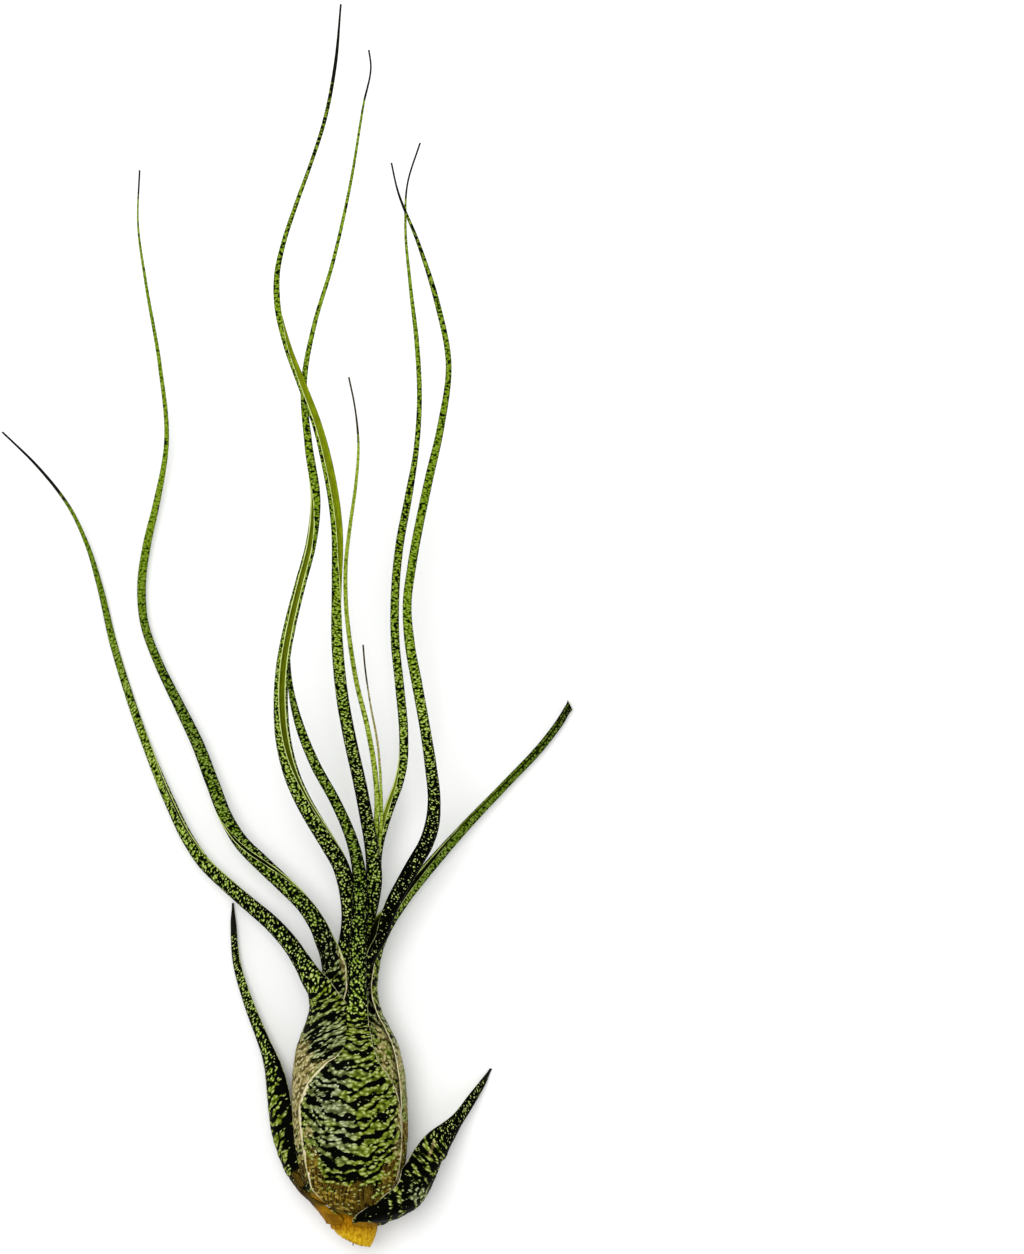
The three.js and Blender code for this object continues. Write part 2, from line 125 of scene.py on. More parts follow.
def make_piece(node, points, faces, marks):
    """A mesh in metres that rides on the root body and stands for one CAD node."""
    name = node + "_grown"
    mesh = bpy.data.meshes.new(name)
    mesh.from_pydata((points * MM).tolist(), [], faces)
    mesh.shade_smooth()
    for key, values in marks.items():
        values = np.asarray(values, np.float32)
        flat = values.ndim == 1
        attribute = mesh.attributes.new(key, "FLOAT" if flat else "FLOAT_VECTOR", "POINT")
        attribute.data.foreach_set("value" if flat else "vector", values.ravel())
    piece = bpy.data.objects.new(name, mesh)
    bpy.context.scene.collection.objects.link(piece)
    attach(piece, "root")
    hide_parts(node)
    return piece


def ring_faces(rings, around):
    """Four-sided faces between closed rings of points."""
    first = np.arange(rings - 1)[:, None] * around + np.arange(around)
    second = np.arange(rings - 1)[:, None] * around + (np.arange(around) + 1) % around
    return np.stack([first, second, second + around, first + around], -1).reshape(-1, 4).tolist()


def stem_mesh():
    """Rings from the middle of the cut face out to its rim, then along the side to the hidden tip."""
    side = np.arange(STEM_FOOT, STEM_TOP, STEM_STEP)
    face = np.linspace(CUT_MIDDLE, 1, CUT_RINGS)[:-1]
    place = np.concatenate([np.full(len(face), STEM_FOOT), side])
    radius = curve(STEM_RADIUS, 1, place)
    radius[: len(face)] *= face
    angle = np.arange(STEM_SIDES) * 2 * np.pi / STEM_SIDES
    wander = waves(side.mean() + place, seed=3, count=5, shortest=4, longest=20)[:, None]
    turn = angle[None, :] + FIBRE_WANDER * wander
    bend = waves(place, seed=5, count=6, shortest=3, longest=14)[:, None]
    fine_bend = waves(place, seed=8, count=6, shortest=2, longest=9)[:, None]
    fibre = np.abs(np.sin(turn * FIBRES_ROUND / 2 + bend))
    fibre += FINE_FIBRE_HEIGHT * np.abs(np.sin(turn * FIBRES_ROUND * FINE_FIBRE_RATE + 2 + fine_bend))
    lift = FIBRE_HEIGHT * (fibre - 1) * rise(FIBRE_FADE, 1, radius / radius.max())[:, None]
    wide = radius[:, None] + lift * (radius[:, None] > FIBRE_LEAST_RADIUS)
    sloped = rise(CUT_START, STEM_FOOT, place)[:, None]
    x = wide * np.sin(angle) - CUT_SHIFT * sloped
    z = wide * np.cos(angle)
    over_face = angle[None, :] * 3 + radius[:, None] * 2
    pit = PIT_DEPTH * waves(over_face, seed=11, count=6, shortest=1.4, longest=6)
    pit = pit * (place < CUT_FACE)[:, None]
    y = place[:, None] + CUT_SLOPE * x * sloped + pit * sloped * (radius < CUT_RIM)[:, None]
    x = x + AXIS_LEAN * y
    points = np.stack([x, y + 0 * x, z + AXIS_HEIGHT], -1).reshape(-1, 3)
    count = len(place)
    faces = ring_faces(count, STEM_SIDES)
    ends = points.reshape(count, STEM_SIDES, 3)[[0, -1]].mean(1)
    ends[1, 1] = STEM_TIP
    points = np.vstack([points, ends])
    for j in range(STEM_SIDES):
        k = (j + 1) % STEM_SIDES
        faces.append([count * STEM_SIDES, k, j])
        faces.append([count * STEM_SIDES + 1, (count - 1) * STEM_SIDES + j, (count - 1) * STEM_SIDES + k])
    cut = np.concatenate([np.repeat(rise(YELLOW_FROM, YELLOW_WHOLE, place), STEM_SIDES), [1, 0]])
    fibre = np.concatenate([fibre.ravel(), [1, 1]])
    grain = [np.sin(turn) * GRAIN_ROUND, y / GRAIN_LENGTH, np.cos(turn) * GRAIN_ROUND]
    grain = np.stack(grain, -1).reshape(-1, 3)
    grain = np.vstack([grain, END_GRAIN])
    return points, faces, {"cut": cut, "fibre": fibre, "grain": grain}


def material(name, roughness, specular):
    """A new material and its Principled shader."""
    made = bpy.data.materials.new(name)
    made.use_nodes = True
    shader = made.node_tree.nodes["Principled BSDF"]
    shader.inputs["Roughness"].default_value = roughness
    shader.inputs["Specular IOR Level"].default_value = specular
    return made, shader


class Nodes:
    """Adds nodes to a tree and links them. A plain number or colour is set on the socket itself."""

    def __init__(self, tree):
        self.tree = tree

    def add(self, kind, inputs=(), **settings):
        node = self.tree.nodes.new(kind)
        for key, value in settings.items():
            setattr(node, key, value)
        for key, value in dict(inputs).items():
            self.put(node.inputs[key], value)
        return node

    def put(self, socket, value):
        if isinstance(value, bpy.types.NodeSocket):
            self.tree.links.new(value, socket)
        else:
            socket.default_value = value

    def math(self, operation, *values):
        return self.add("ShaderNodeMath", dict(enumerate(values)), operation=operation).outputs[0]

    def mix(self, share, a, b):
        """Colour a, turned into colour b by a share. The numbers are the node's colour sockets."""
        return self.add("ShaderNodeMix", {0: share, 6: a, 7: b}, data_type="RGBA").outputs[2]

    def step(self, value, low, high, to_low=0.0, to_high=1.0):
        """A soft step of a value, from to_low at low to to_high at high."""
        inputs = {0: value, 1: low, 2: high, 3: to_low, 4: to_high}
        return self.add("ShaderNodeMapRange", inputs, interpolation_type="SMOOTHSTEP").outputs[0]

    def mark(self, name, output="Fac"):
        return self.add("ShaderNodeAttribute", attribute_name=name).outputs[output]

    def noise(self, place, scale, detail=2.0):
        inputs = {"Vector": place, "Scale": scale, "Detail": detail}
        return self.add("ShaderNodeTexNoise", inputs).outputs["Fac"]


def paint(red, green, blue):
    """A colour given as its 0 to 255 screen values."""
    level = np.array([red, green, blue]) / 255
    linear = np.where(level <= 0.04045, level / 12.92, ((level + 0.055) / 1.055) ** 2.4)
    return (*linear.tolist(), 1.0)


STEM_COLOURS = {
    "amber_deep": paint(126, 80, 4), "amber": paint(172, 120, 10),
    "yellow_deep": paint(178, 132, 8), "yellow": paint(214, 176, 34),
    "brown": paint(82, 48, 8), "valley": paint(110, 70, 6),
}


def stem_material():
    """Amber wood with brown streaks and dark lines between its fibres, and yellow flesh at the cut."""
    made, shader = material("stem_wood", roughness=0.62, specular=0.02)
    n = Nodes(made.node_tree)
    grain = n.mark("grain", "Vector")
    streak = n.noise(grain, scale=1.7, detail=4.0)
    amber = n.mix(n.step(streak, 0.35, 0.65), STEM_COLOURS["amber_deep"], STEM_COLOURS["amber"])
    yellow = n.mix(n.step(streak, 0.35, 0.62), STEM_COLOURS["yellow_deep"], STEM_COLOURS["yellow"])
    colour = n.mix(n.mark("cut"), amber, yellow)
    brown = n.step(n.noise(grain, scale=0.9, detail=3.0), 0.52, 0.7, 0.0, 0.45)
    low = n.math("SUBTRACT", 1.0, n.mark("cut"))
    colour = n.mix(n.math("MULTIPLY", brown, low), colour, STEM_COLOURS["brown"])
    valley = n.step(n.mark("fibre"), 0.75, 0.1, 0.0, 0.06)
    colour = n.mix(valley, colour, STEM_COLOURS["valley"])
    n.put(shader.inputs["Base Color"], colour)
    fine = n.noise(grain, scale=6.0, detail=3.0)
    bump = n.add("ShaderNodeBump", {"Strength": 0.5, "Distance": GRAIN_DEPTH, "Height": fine})
    n.put(shader.inputs["Normal"], bump.outputs["Normal"])
    return made


stem_points, stem_faces, stem_marks = stem_mesh()
stem = make_piece("stem", stem_points, stem_faces, stem_marks)
stem.data.materials.append(stem_material())


# Root wisps
# A few short dry roots at the rim of the cut, the remains of those that held the plant to its branch. They
# are dark, wiry and bent, and each tapers from a thick end sunk in the rim to a free one.

WISPS = {
    "Count": 11, "Length": 1.3 * MM, "Thickness": 0.12 * MM, "Smallest": 0.35, "Largest": 1.1,
    "Spread": 0.8, "Seed": 4,
}
WISP_MIDDLE = (0, -0.6, 0.1)
WISP_END = (0.4, -1, -0.3)
WISP_TAPER = 0.75
WISP_BENDS = 6
WISP_SIDES = 4
WISP_COLOURS = {"dark": paint(18, 12, 6), "light": paint(58, 40, 18)}
# Where they stand, as angles round the rim of the cut, 0 up
WISPS_FROM = 2.5
WISPS_TO = 3.3
RIM_POINTS = 40


def wisps_tree():
    """Thin bent roots that stand along a line, each turned and sized at random.

    A socket whose name repeats in its node is given by number, as a random value's limits and seed are.
    """
    tree = bpy.data.node_groups.new("root_wisps", "GeometryNodeTree")
    tree.interface.new_socket("Geometry", in_out="INPUT", socket_type="NodeSocketGeometry")
    for name in WISPS:
        whole = name in ("Count", "Seed")
        kind = "NodeSocketInt" if whole else "NodeSocketFloat"
        tree.interface.new_socket(name, in_out="INPUT", socket_type=kind)
    tree.interface.new_socket("Material", in_out="INPUT", socket_type="NodeSocketMaterial")
    tree.interface.new_socket("Geometry", in_out="OUTPUT", socket_type="NodeSocketGeometry")
    n = Nodes(tree)
    given = n.add("NodeGroupInput").outputs
    rim = n.add("GeometryNodeMeshToCurve", {"Mesh": given["Geometry"]}).outputs[0]
    spots = n.add("GeometryNodeResampleCurve", {"Curve": rim, "Count": given["Count"]}).outputs[0]
    middle = n.add("ShaderNodeVectorMath", {0: WISP_MIDDLE, "Scale": given["Length"]}, operation="SCALE")
    end = n.add("ShaderNodeVectorMath", {0: WISP_END, "Scale": given["Length"]}, operation="SCALE")
    bend = {"Resolution": WISP_BENDS, "Start": (0, 0, 0)}
    bend = {**bend, "Middle": middle.outputs[0], "End": end.outputs[0]}
    line = n.add("GeometryNodeCurveQuadraticBezier", bend).outputs[0]
    along = n.add("GeometryNodeSplineParameter").outputs["Factor"]
    taper = n.math("MULTIPLY_ADD", along, -WISP_TAPER, 1.0)
    line = n.add("GeometryNodeSetCurveRadius", {"Curve": line, "Radius": taper}).outputs[0]
    ring = {"Resolution": WISP_SIDES, "Radius": given["Thickness"]}
    ring = n.add("GeometryNodeCurvePrimitiveCircle", ring).outputs[0]
    hair = {"Curve": line, "Profile Curve": ring, "Fill Caps": True}
    hair = n.add("GeometryNodeCurveToMesh", hair).outputs[0]
    least = n.math("MULTIPLY", given["Spread"], -1.0)
    angles = {0: least, 1: given["Spread"], 8: given["Seed"]}
    turn = n.add("FunctionNodeRandomValue", angles, data_type="FLOAT_VECTOR").outputs[0]
    turn = n.add("FunctionNodeEulerToRotation", {0: turn}).outputs[0]
    sizes = {2: given["Smallest"], 3: given["Largest"], 8: given["Seed"]}
    size = n.add("FunctionNodeRandomValue", sizes).outputs[1]
    stand = {"Points": spots, "Instance": hair, "Rotation": turn, "Scale": size}
    wisps = n.add("GeometryNodeInstanceOnPoints", stand).outputs[0]
    wisps = n.add("GeometryNodeRealizeInstances", {"Geometry": wisps}).outputs[0]
    wisps = n.add("GeometryNodeSetMaterial", {"Geometry": wisps, "Material": given["Material"]}).outputs[0]
    n.add("NodeGroupOutput", {"Geometry": wisps})
    return tree


def wisp_material():
    """Dark dry root, lighter in places."""
    made, shader = material("root_wisp", roughness=0.7, specular=0.1)
    n = Nodes(made.node_tree)
    where = n.add("ShaderNodeTexCoord").outputs["Object"]
    shade = n.step(n.noise(where, scale=900.0), 0.4, 0.6)
    n.put(shader.inputs["Base Color"], n.mix(shade, WISP_COLOURS["dark"], WISP_COLOURS["light"]))
    return made


def rim_line():
    """Points along the lower rim of the cut, where the wisps stand."""
    angle = np.linspace(WISPS_FROM, WISPS_TO, RIM_POINTS)
    x = CUT_RIM * np.sin(angle) - CUT_SHIFT
    y = CUT_FACE + CUT_SLOPE * x
    z = AXIS_HEIGHT + CUT_RIM * np.cos(angle)
    return np.stack([x + AXIS_LEAN * y, y, z], -1)


def grown_on_line(name, line, tree, sizes, made):
    """A plain mesh that a node tree grows along a line of points."""
    mesh = bpy.data.meshes.new(name)
    mesh.from_pydata((line * MM).tolist(), [(i, i + 1) for i in range(len(line) - 1)], [])
    piece = bpy.data.objects.new(name, mesh)
    bpy.context.scene.collection.objects.link(piece)
    modifier = piece.modifiers.new(name, "NODES")
    modifier.node_group = tree
    for item in tree.interface.items_tree:
        if item.in_out == "INPUT" and item.name in sizes:
            modifier[item.identifier] = sizes[item.name]
        elif item.in_out == "INPUT" and item.name == "Material":
            modifier[item.identifier] = made
    view = bpy.context.evaluated_depsgraph_get()
    plain = bpy.data.meshes.new_from_object(piece.evaluated_get(view))
    piece.modifiers.clear()
    piece.data = plain
    bpy.data.meshes.remove(mesh)
    return piece


wisps = grown_on_line("root_wisps", rim_line(), wisps_tree(), WISPS, wisp_material())
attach(wisps, "root")


# Leaves
# Twelve leaves, each one piece: a sheath that wraps the bulb and a long rolled blade with a groove inside.
# They are living skin, mottled near-black on green and set with pale scales, thin and pale at the margins
# and dry and dark at the tip. Each grows from the stem, the outer ones lowest.

# The bulb is a little lower than wide. Next come a leaf's wall, the spacing of the sheaths, their gap round
# the stem, the length in which they open, the stretch of sheath that a path starts with, and least sizes
BULB_FLATTENING = 0.92
WALL = 0.6
LAYER_STEP = 0.9
STEM_GAP = 0.3
FOOT_LENGTH = 4.5
SHEATH_STEP = 4
LEAST_GROOVE = 0.3
THINNEST_BLADE = 0.36
# A section wider than the held radius stands square to the axis, one under the free radius to its own path
HELD_RADIUS = 5.5
FREE_RADIUS = 2.5
# Radius at each place along the axis
BULB_RADIUS = [
    [-23, 7.4], [-18, 9.3], [-14, 10.1], [-10, 10.8], [-6, 11.3], [-2, 11.5], [2, 11.5], [6, 11.35],
    [10, 10.8], [13, 10.1], [17, 8.3], [21, 6.4], [25, 5.4],
]

# The leaves, outermost first. A row that begins with y says what holds at that place along the leaf, and
# between rows the values run smoothly.
# foot: y where the sheath meets the stem. leave: y where the leaf leaves the bulb and follows its path.
# layer: how far outside the table of bulb radii the sheath lies, in layer steps.
# cup: how slowly the sheath widens from its foot. torn_tip: the slant of a torn end.
# lean: how far the rows of cells slant. stretch: how much wider than long the cells of the sheath are.
# groove_shade: how much shade is painted into the middle of the groove or, below 0, how much light is
# painted there.
# dry: y where the dead tip begins and y where it is complete.
# turn: [y, facing, half], the way the back of the leaf faces, in degrees from up towards +X, and half the
# angle that its curved section spans.
# path: [y, x, z, width], the middle and the width of the circle that the section follows.
# cover: [y, share of the skin that is green]. deep: [y, share of the green that is deep].
# pale_edge: [y, left, right], widths of the pale margins.
# patches: [kind, x, y, half width, half length, turn, strength], places of another look, seen from above.
LEAVES = [
  {
    "name": "leaf_base_right", "foot": -22.9, "leave": -22.2, "layer": 1, "lean": 0.5, "stretch": 1,
    "dry": [3, 8],
    "turn": [
      [-22.9, 62, 60], [-21.4, 60, 66], [-19.6, 62, 74], [-17, 66, 73], [-15.5, 70, 70], [-14, 75, 72],
      [-11, 75, 88], [-5, 65, 105], [8, 60, 125],
    ],
    "path": [
      [-21.4, 1.6, 10.4, 17], [-19.6, 4.2, 10.4, 18], [-17, 7.2, 10.2, 16.4], [-13.7, 9.6, 9.8, 14.8],
      [-10.7, 12.4, 9, 11.6], [-7.8, 15.6, 7.8, 8], [-5, 18.8, 6.4, 4.7], [-2, 21.5, 4.4, 2.7],
      [2, 24.4, 2.4, 2], [5, 26.5, 1, 1.3], [7.7, 28.1, 0.3, 0.5],
    ],
    "cover": [[-23, 0.04], [-17, 0.08], [-10, 0.14], [-4, 0.2], [8, 0.2]],
    "pale_edge": [[-23, 0.01, 0.01], [-21.8, 0.02, 0.02], [-21, 0.16, 0.14], [8, 0.1, 0.1]],
    "patches": [
      ["black", 4.5, -20, 4, 2, 20, 0.3], ["grey", 13.4, -16.8, 3, 2.4, 35, 1],
      ["light", 13.6, -16.6, 2.6, 1.8, 35, 0.3], ["black", 10.5, -11.5, 3, 1, 40, 0.3],
      ["amber", 2.4, -22.7, 3, 0.9, 4, 0.9], ["paper", 16.4, -7.4, 0.35, 1.6, -20, 1],
    ],
  },
  {
    "name": "leaf_base_left", "foot": -22.6, "leave": -22.2, "layer": 1, "cup": 1.6, "lean": -0.35,
    "stretch": 0.8, "dry": [30, 40],
    "turn": [
      [-22.6, -88, 54], [-22, -82, 60], [-21.2, -78, 58], [-20.2, -80, 56], [-18.6, -86, 50],
      [-17, -92, 44], [-14, -86, 54], [-11.5, -83, 66], [-9, -82, 73], [-4, -75, 84], [1, -74, 92],
      [9, -72, 102], [20, -80, 118], [41, -90, 130],
    ],
    "path": [
      [-19.4, -0.3, 9.9, 13.6], [-17, -2.8, 9, 13.6], [-14.2, -6.3, 7.6, 11.2], [-9.3, -9.5, 6, 9.6],
      [-4.4, -11.6, 4.9, 8.5], [0.8, -12.9, 4.1, 7.4], [4.8, -13.9, 3.4, 6.2], [8.8, -15.2, 2.9, 4.6],
      [12.8, -16.9, 2.5, 3.3], [20.8, -20.2, 1.9, 2.5], [28.8, -22.7, 1.4, 1.95], [36.8, -23.5, 1, 1.4],
      [41, -23.7, 0.7, 0.5],
    ],
    "cover": [[-23, 0.3], [-12, 0.32], [0, 0.45], [10, 0.38], [25, 0.34], [41, 0.25]],
    "pale_edge": [
      [-23, 0.01, 0.01], [-15, 0.01, 0.01], [-9, 0.06, 0.01], [0, 0.1, 0.14], [20, 0.1, 0.14],
      [41, 0.08, 0.08],
    ],
    "patches": [
      ["black", -12.3, 0, 1.7, 11, 6, 0.55], ["black", -16, 16, 1.4, 9, 14, 0.3],
      ["gold", -7.6, -16.2, 5, 4, -35, 0.9], ["black", -9.6, -12.4, 2.2, 4, 12, 0.4],
      ["amber", -2.2, -23, 6.4, 2.2, -36, 1], ["black", -7.6, -16.6, 4, 3, -40, 0.6],
    ],
  },
  {
    "name": "leaf_front", "foot": -21, "leave": 10, "layer": 1, "stretch": 0.6, "dry": [84, 91],
    "turn": [
      [-21, 14, 15], [-19.5, 2, 26], [-18, -2, 31], [-16.3, -1.5, 41.5], [-15, 0, 49], [-13.8, 2, 52],
      [-7, 2.5, 55], [0, 0.5, 55], [4, 2, 49], [7, 3, 40], [9.8, 5.5, 28], [12, 10, 19], [14, 10, 16],
      [17, 8, 24], [21, 4, 50], [25, 2, 95], [33, 0, 115], [50, 0, 130], [91, 0, 150],
    ],
    "path": [
      [14, 0.3, 11.4, 19.8], [17.5, 1.2, 14, 10], [21, 1.5, 15.2, 5.4], [25.4, 1.6, 15.7, 3.7],
      [33.4, 1.7, 15.8, 3.45], [41.4, 2.1, 16.5, 3.2], [47.4, 2, 17.6, 2.8], [53.4, 0.8, 19.2, 2.4],
      [61.4, -2.4, 22, 2.1], [69.3, -6.6, 24.7, 2], [77.3, -9.7, 26.8, 1.7], [85.2, -11.4, 28, 1],
      [91, -11.6, 28.6, 0.4],
    ],
    "cover": [
      [-21, 0.4], [-14, 0.44], [-11, 0.46], [-7, 0.54], [0, 0.6], [10, 0.56], [16, 0.48], [22, 0.4],
      [40, 0.36], [60, 0.46], [91, 0.55],
    ],
    "deep": [[-21, 0], [18, 0], [28, 0.35], [91, 0.35]],
    "pale_edge": [
      [-21, 0.01, 0.05], [-18.6, 0.01, 0.1], [-16.6, 0.3, 0.25], [-12, 0.6, 0.32], [0, 0.8, 0.3],
      [8, 0.75, 0.2], [11, 0.3, 0.16], [13, 0.01, 0.14], [50, 0.02, 0.12], [60, 0.08, 0.08],
      [91, 0.08, 0.08],
    ],
    "patches": [
      ["light", -4.4, 4, 3, 5, -20, -0.14], ["black", -3.6, 9.4, 2, 1.3, 20, 0.3],
      ["grey", -3.5, 1, 4.5, 10, 6, 1], ["gold", -0.8, -18.4, 9, 4, 0, 1],
      ["gold", -7.8, -12.4, 2.3, 5, 10, 1], ["gold", 8.4, -12.6, 2, 4.2, -10, 0.8],
      ["paper", -7.6, -6.5, 1, 5, 8, 0.5], ["paper", 10, -6, 1, 9, 0, 0.6],
      ["paper", 8.6, 7, 1.2, 5, 15, 0.4], ["black", 3.4, -17, 1.9, 1.4, 0, 0.5],
      ["black", -4, -9.6, 1.4, 1.1, 0, 0.2], ["black", 9.4, 0, 0.7, 0.9, 0, 0.3],
      ["light", 1, -12, 9, 3.6, 0, -0.14], ["black", 2.6, -19.4, 2.4, 1.6, 0, 0.5],
      ["grey", 1.6, 10, 3, 4, 0, 0.4],
    ],
  },
  {
    "name": "leaf_left_long", "foot": -18.8, "leave": 15, "layer": 0, "lean": -0.3, "stretch": 0.5,
    "dry": [114, 132],
    "turn": [
      [-18.8, -77.5, 67], [8, -77.5, 67], [15, -70, 75], [20, -65, 81], [23.6, -64, 92], [26, -58, 108],
      [33, -66, 132], [41, -92, 156], [50, -120, 167], [59, -148, 168], [66, -142, 168], [72, -105, 166],
      [80, -75, 164], [136, -60, 164],
    ],
    "path": [
      [18, -0.9, 10.3, 15.6], [21, -2, 10.7, 12.2], [23.6, -4.4, 11.4, 8.2], [26, -7, 11.6, 5.2],
      [29.2, -9.2, 10.8, 3.9], [33.1, -11.9, 9.7, 3.4], [37.1, -15.6, 8.3, 3.2], [41, -20.2, 7, 3],
      [45, -24.9, 5.8, 2.8], [48.9, -29.1, 4.7, 2.65], [52.9, -32, 3.9, 2.5], [60.9, -36.1, 2.6, 2.2],
      [72.9, -41.1, 1.5, 1.75], [85, -45.3, 0.9, 1.6], [93, -47.7, 0.75, 1.5], [105, -50.5, 1.8, 1.2],
      [113, -52.9, 3.2, 0.9], [121, -56.7, 5, 0.7], [129, -63, 7, 0.55], [135.4, -69.5, 9, 0.4],
    ],
    "cover": [
      [-19, 0.38], [0, 0.46], [12, 0.44], [22, 0.36], [30, 0.32], [40, 0.36], [50, 0.46], [62, 0.54],
      [80, 0.62], [95, 0.7], [136, 0.75],
    ],
    "deep": [[-19, 0], [70, 0.15], [90, 0.45], [136, 0.4]],
    "pale_edge": [
      [-19, 0.2, 0.12], [20, 0.12, 0.12], [26, 0.12, 0.24], [31, 0.1, 0.16], [36, 0.1, 0.12],
      [136, 0.08, 0.08],
    ],
    "patches": [
      ["paper", -9.4, 1, 3, 9.5, 0, 0.9], ["paper", -9.6, 10, 1.8, 5, -10, 0.7],
      ["paper", -4.6, 8.5, 3, 2.2, -30, 0.45], ["light", -1.8, 14.5, 3, 3, 0, 0.2],
      ["grey", -5, 14, 5, 6, 0, 0.8], ["black", -7.6, 16, 1.5, 3, 0, 0.2],
      # The golden and black patches at x -9.6 are a painted shadow of leaf_base_left, dark brown on this
      # sheath
      ["gold", -9.6, -12, 1.6, 3, 8, 0.7], ["black", -9.6, -14, 1.6, 3, 8, 0.4],
      ["amber", -4.4, -19.6, 5, 3, -36, 1],
    ],
  },
  {
    "name": "leaf_right_low", "foot": -18.4, "leave": 19, "layer": 0, "torn_tip": 1.1, "dry": [86, 96],
    "turn": [
      [-18.4, 138, 73.5], [16, 138, 73.5], [24, 137, 84], [30, 138, 90], [34, 147, 104], [37, 154, 124],
      [40, 156, 140], [44, 154, 154], [49, 148, 160], [55, 134, 164], [62, 145, 167], [72, 168, 168],
      [81, 165, 166],
    ],
    "path": [
      [24, -0.1, 10, 11.2], [28.5, 1.3, 9.4, 9.1], [32.5, 3.2, 8.7, 7], [36, 5.7, 8, 4.9],
      [39.8, 8.7, 7.2, 3.4], [43.4, 11.6, 6.3, 2.8], [49, 16.3, 5.2, 2.5], [56.9, 23.4, 3.8, 2],
      [64.9, 31.1, 2.8, 1.7], [72.9, 38.6, 2.1, 1.66], [77, 41.7, 1.8, 1.6], [80.8, 44, 1.5, 1.5],
    ],
    "cover": [
      [-18, 0.4], [18, 0.64], [28, 0.58], [40, 0.54], [52, 0.64], [64, 0.66], [74, 0.52], [81, 0.3],
    ],
    "deep": [[-18, 0], [36, 0.2], [50, 0.6], [81, 0.9]],
    "pale_edge": [
      [-18, 0.26, 0.2], [20, 0.18, 0.2], [36, 0.16, 0.16], [50, 0.1, 0.1], [60, 0.01, 0.01],
      [81, 0.01, 0.01],
    ],
    "patches": [
      ["paper", 11, 10, 2, 10, 0, 0.5], ["light", 11, 8, 2, 10, 0, 0.35],
      ["gold", 10.8, -8, 1.8, 10, 0, 0.85], ["grey", 10, 18, 4, 16, 0, 1],
    ],
  },
  {
    "name": "leaf_left_upper", "foot": -16.2, "leave": 20, "layer": -1, "dry": [178, 186],
    "turn": [
      [-16.2, -92, 76], [20, -90, 82], [26, -84, 96], [30, -70, 104], [34, -62, 116], [38, -78, 144],
      [42, -100, 160], [47, -135, 167], [52, -190, 168], [57, -240, 168], [62, -280, 166],
      [187, -290, 164],
    ],
    "path": [
      [24, -0.9, 10.6, 9.3], [28, -1.9, 11, 7.4], [31, -3.2, 11.6, 5.7], [33.6, -4.6, 11.9, 4.5],
      [37.2, -6.4, 12, 3.7], [41.2, -9.2, 11.4, 3.35], [45.1, -13.2, 10.3, 3.3], [49.1, -17.5, 9, 3.3],
      [53, -21.5, 7.8, 3.05], [57, -24.2, 6.8, 2.8], [65, -27.6, 5, 2.7], [73, -30.7, 3.8, 2.5],
      [81, -34.6, 3, 2.15], [89, -38.5, 2.5, 1.8], [97, -41.4, 2.1, 1.7], [105, -42, 2.1, 1.75],
      [113, -40.9, 2.7, 1.65], [121, -39, 3.5, 1.4], [133, -36.9, 5, 1], [149, -38.1, 8, 0.78],
      [165, -40.7, 11, 0.6], [177, -42.2, 12.9, 0.4], [187.4, -41.8, 14.2, 0.2],
    ],
    "cover": [
      [-16, 0.4], [26, 0.36], [33, 0.32], [42, 0.38], [55, 0.48], [75, 0.54], [95, 0.62], [110, 0.8],
      [187, 0.85],
    ],
    "deep": [[-16, 0.2], [50, 0.5], [90, 0.65], [115, 0.3], [187, 0.2]],
    "pale_edge": [
      [-16, 0.2, 0.2], [24, 0.1, 0.3], [30, 0.1, 0.5], [34, 0.1, 0.3], [38, 0.12, 0.2], [45, 0.12, 0.16],
      [60, 0.12, 0.12], [66, 0.1, 0.1], [187, 0.08, 0.08],
    ],
    "patches": [
      ["grey", -4, 28, 5, 8, 0, 0.7], ["paper", -1.6, 31, 0.8, 4.6, 12, 0.75],
      ["black", -3, 27, 1.4, 4, 0, 0.16],
    ],
  },
  {
    "name": "leaf_right_long", "foot": -15.8, "leave": 20, "layer": -1, "dry": [172, 185],
    "turn": [
      [-15.8, 92, 80], [22, 92, 80], [30, 90, 84], [36, 80, 108], [44, 60, 128], [60, 30, 148],
      [188, 20, 158],
    ],
    "path": [
      [24, -0.4, 10.5, 9.2], [28, 0.9, 10.9, 7.3], [31.6, 3.3, 11.8, 4.9], [34.8, 5.7, 12.2, 3.6],
      [38, 6.9, 13, 3.4], [41.3, 8.4, 13.9, 3.3], [45.3, 10.6, 15.1, 3.1], [49.3, 12.9, 16.5, 3.05],
      [53.3, 15.2, 17.8, 3], [57.3, 16.5, 19.2, 2.9], [61.3, 16.9, 20.5, 2.6], [69.3, 16.2, 23, 2.35],
      [77.3, 15, 25.5, 2.1], [85.2, 13.6, 27.5, 2.1], [93.1, 12.2, 29.5, 2], [101, 11.7, 30.8, 1.75],
      [108.8, 12.7, 32, 1.75], [124.5, 15.8, 33.6, 1.7], [136, 18.4, 34.5, 1.45], [148, 19.9, 34.8, 1.15],
      [159.9, 17.7, 34.2, 1.1], [171.7, 14, 33, 0.75], [182.8, 9.7, 31.6, 0.4], [187.8, 8.6, 31, 0.2],
    ],
    "cover": [
      [-16, 0.5], [14, 0.5], [20, 0.32], [30, 0.15], [38, 0.12], [50, 0.16], [60, 0.28], [72, 0.44],
      [85, 0.58], [100, 0.68], [125, 0.66], [150, 0.62], [170, 0.45], [188, 0.3],
    ],
    "deep": [[-16, 0], [70, 0], [95, 0.2], [188, 0.15]],
    "pale_edge": [[-16, 0.2, 0.2], [30, 0.12, 0.1], [50, 0.08, 0.08], [188, 0.08, 0.08]],
    "patches": [
      ["paper", 8.4, 8, 2.6, 12, 8, 0.6], ["gold", 8.2, 7, 0.9, 5, 8, 0.45], ["grey", 6, 22, 3, 6, 8, 0.8],
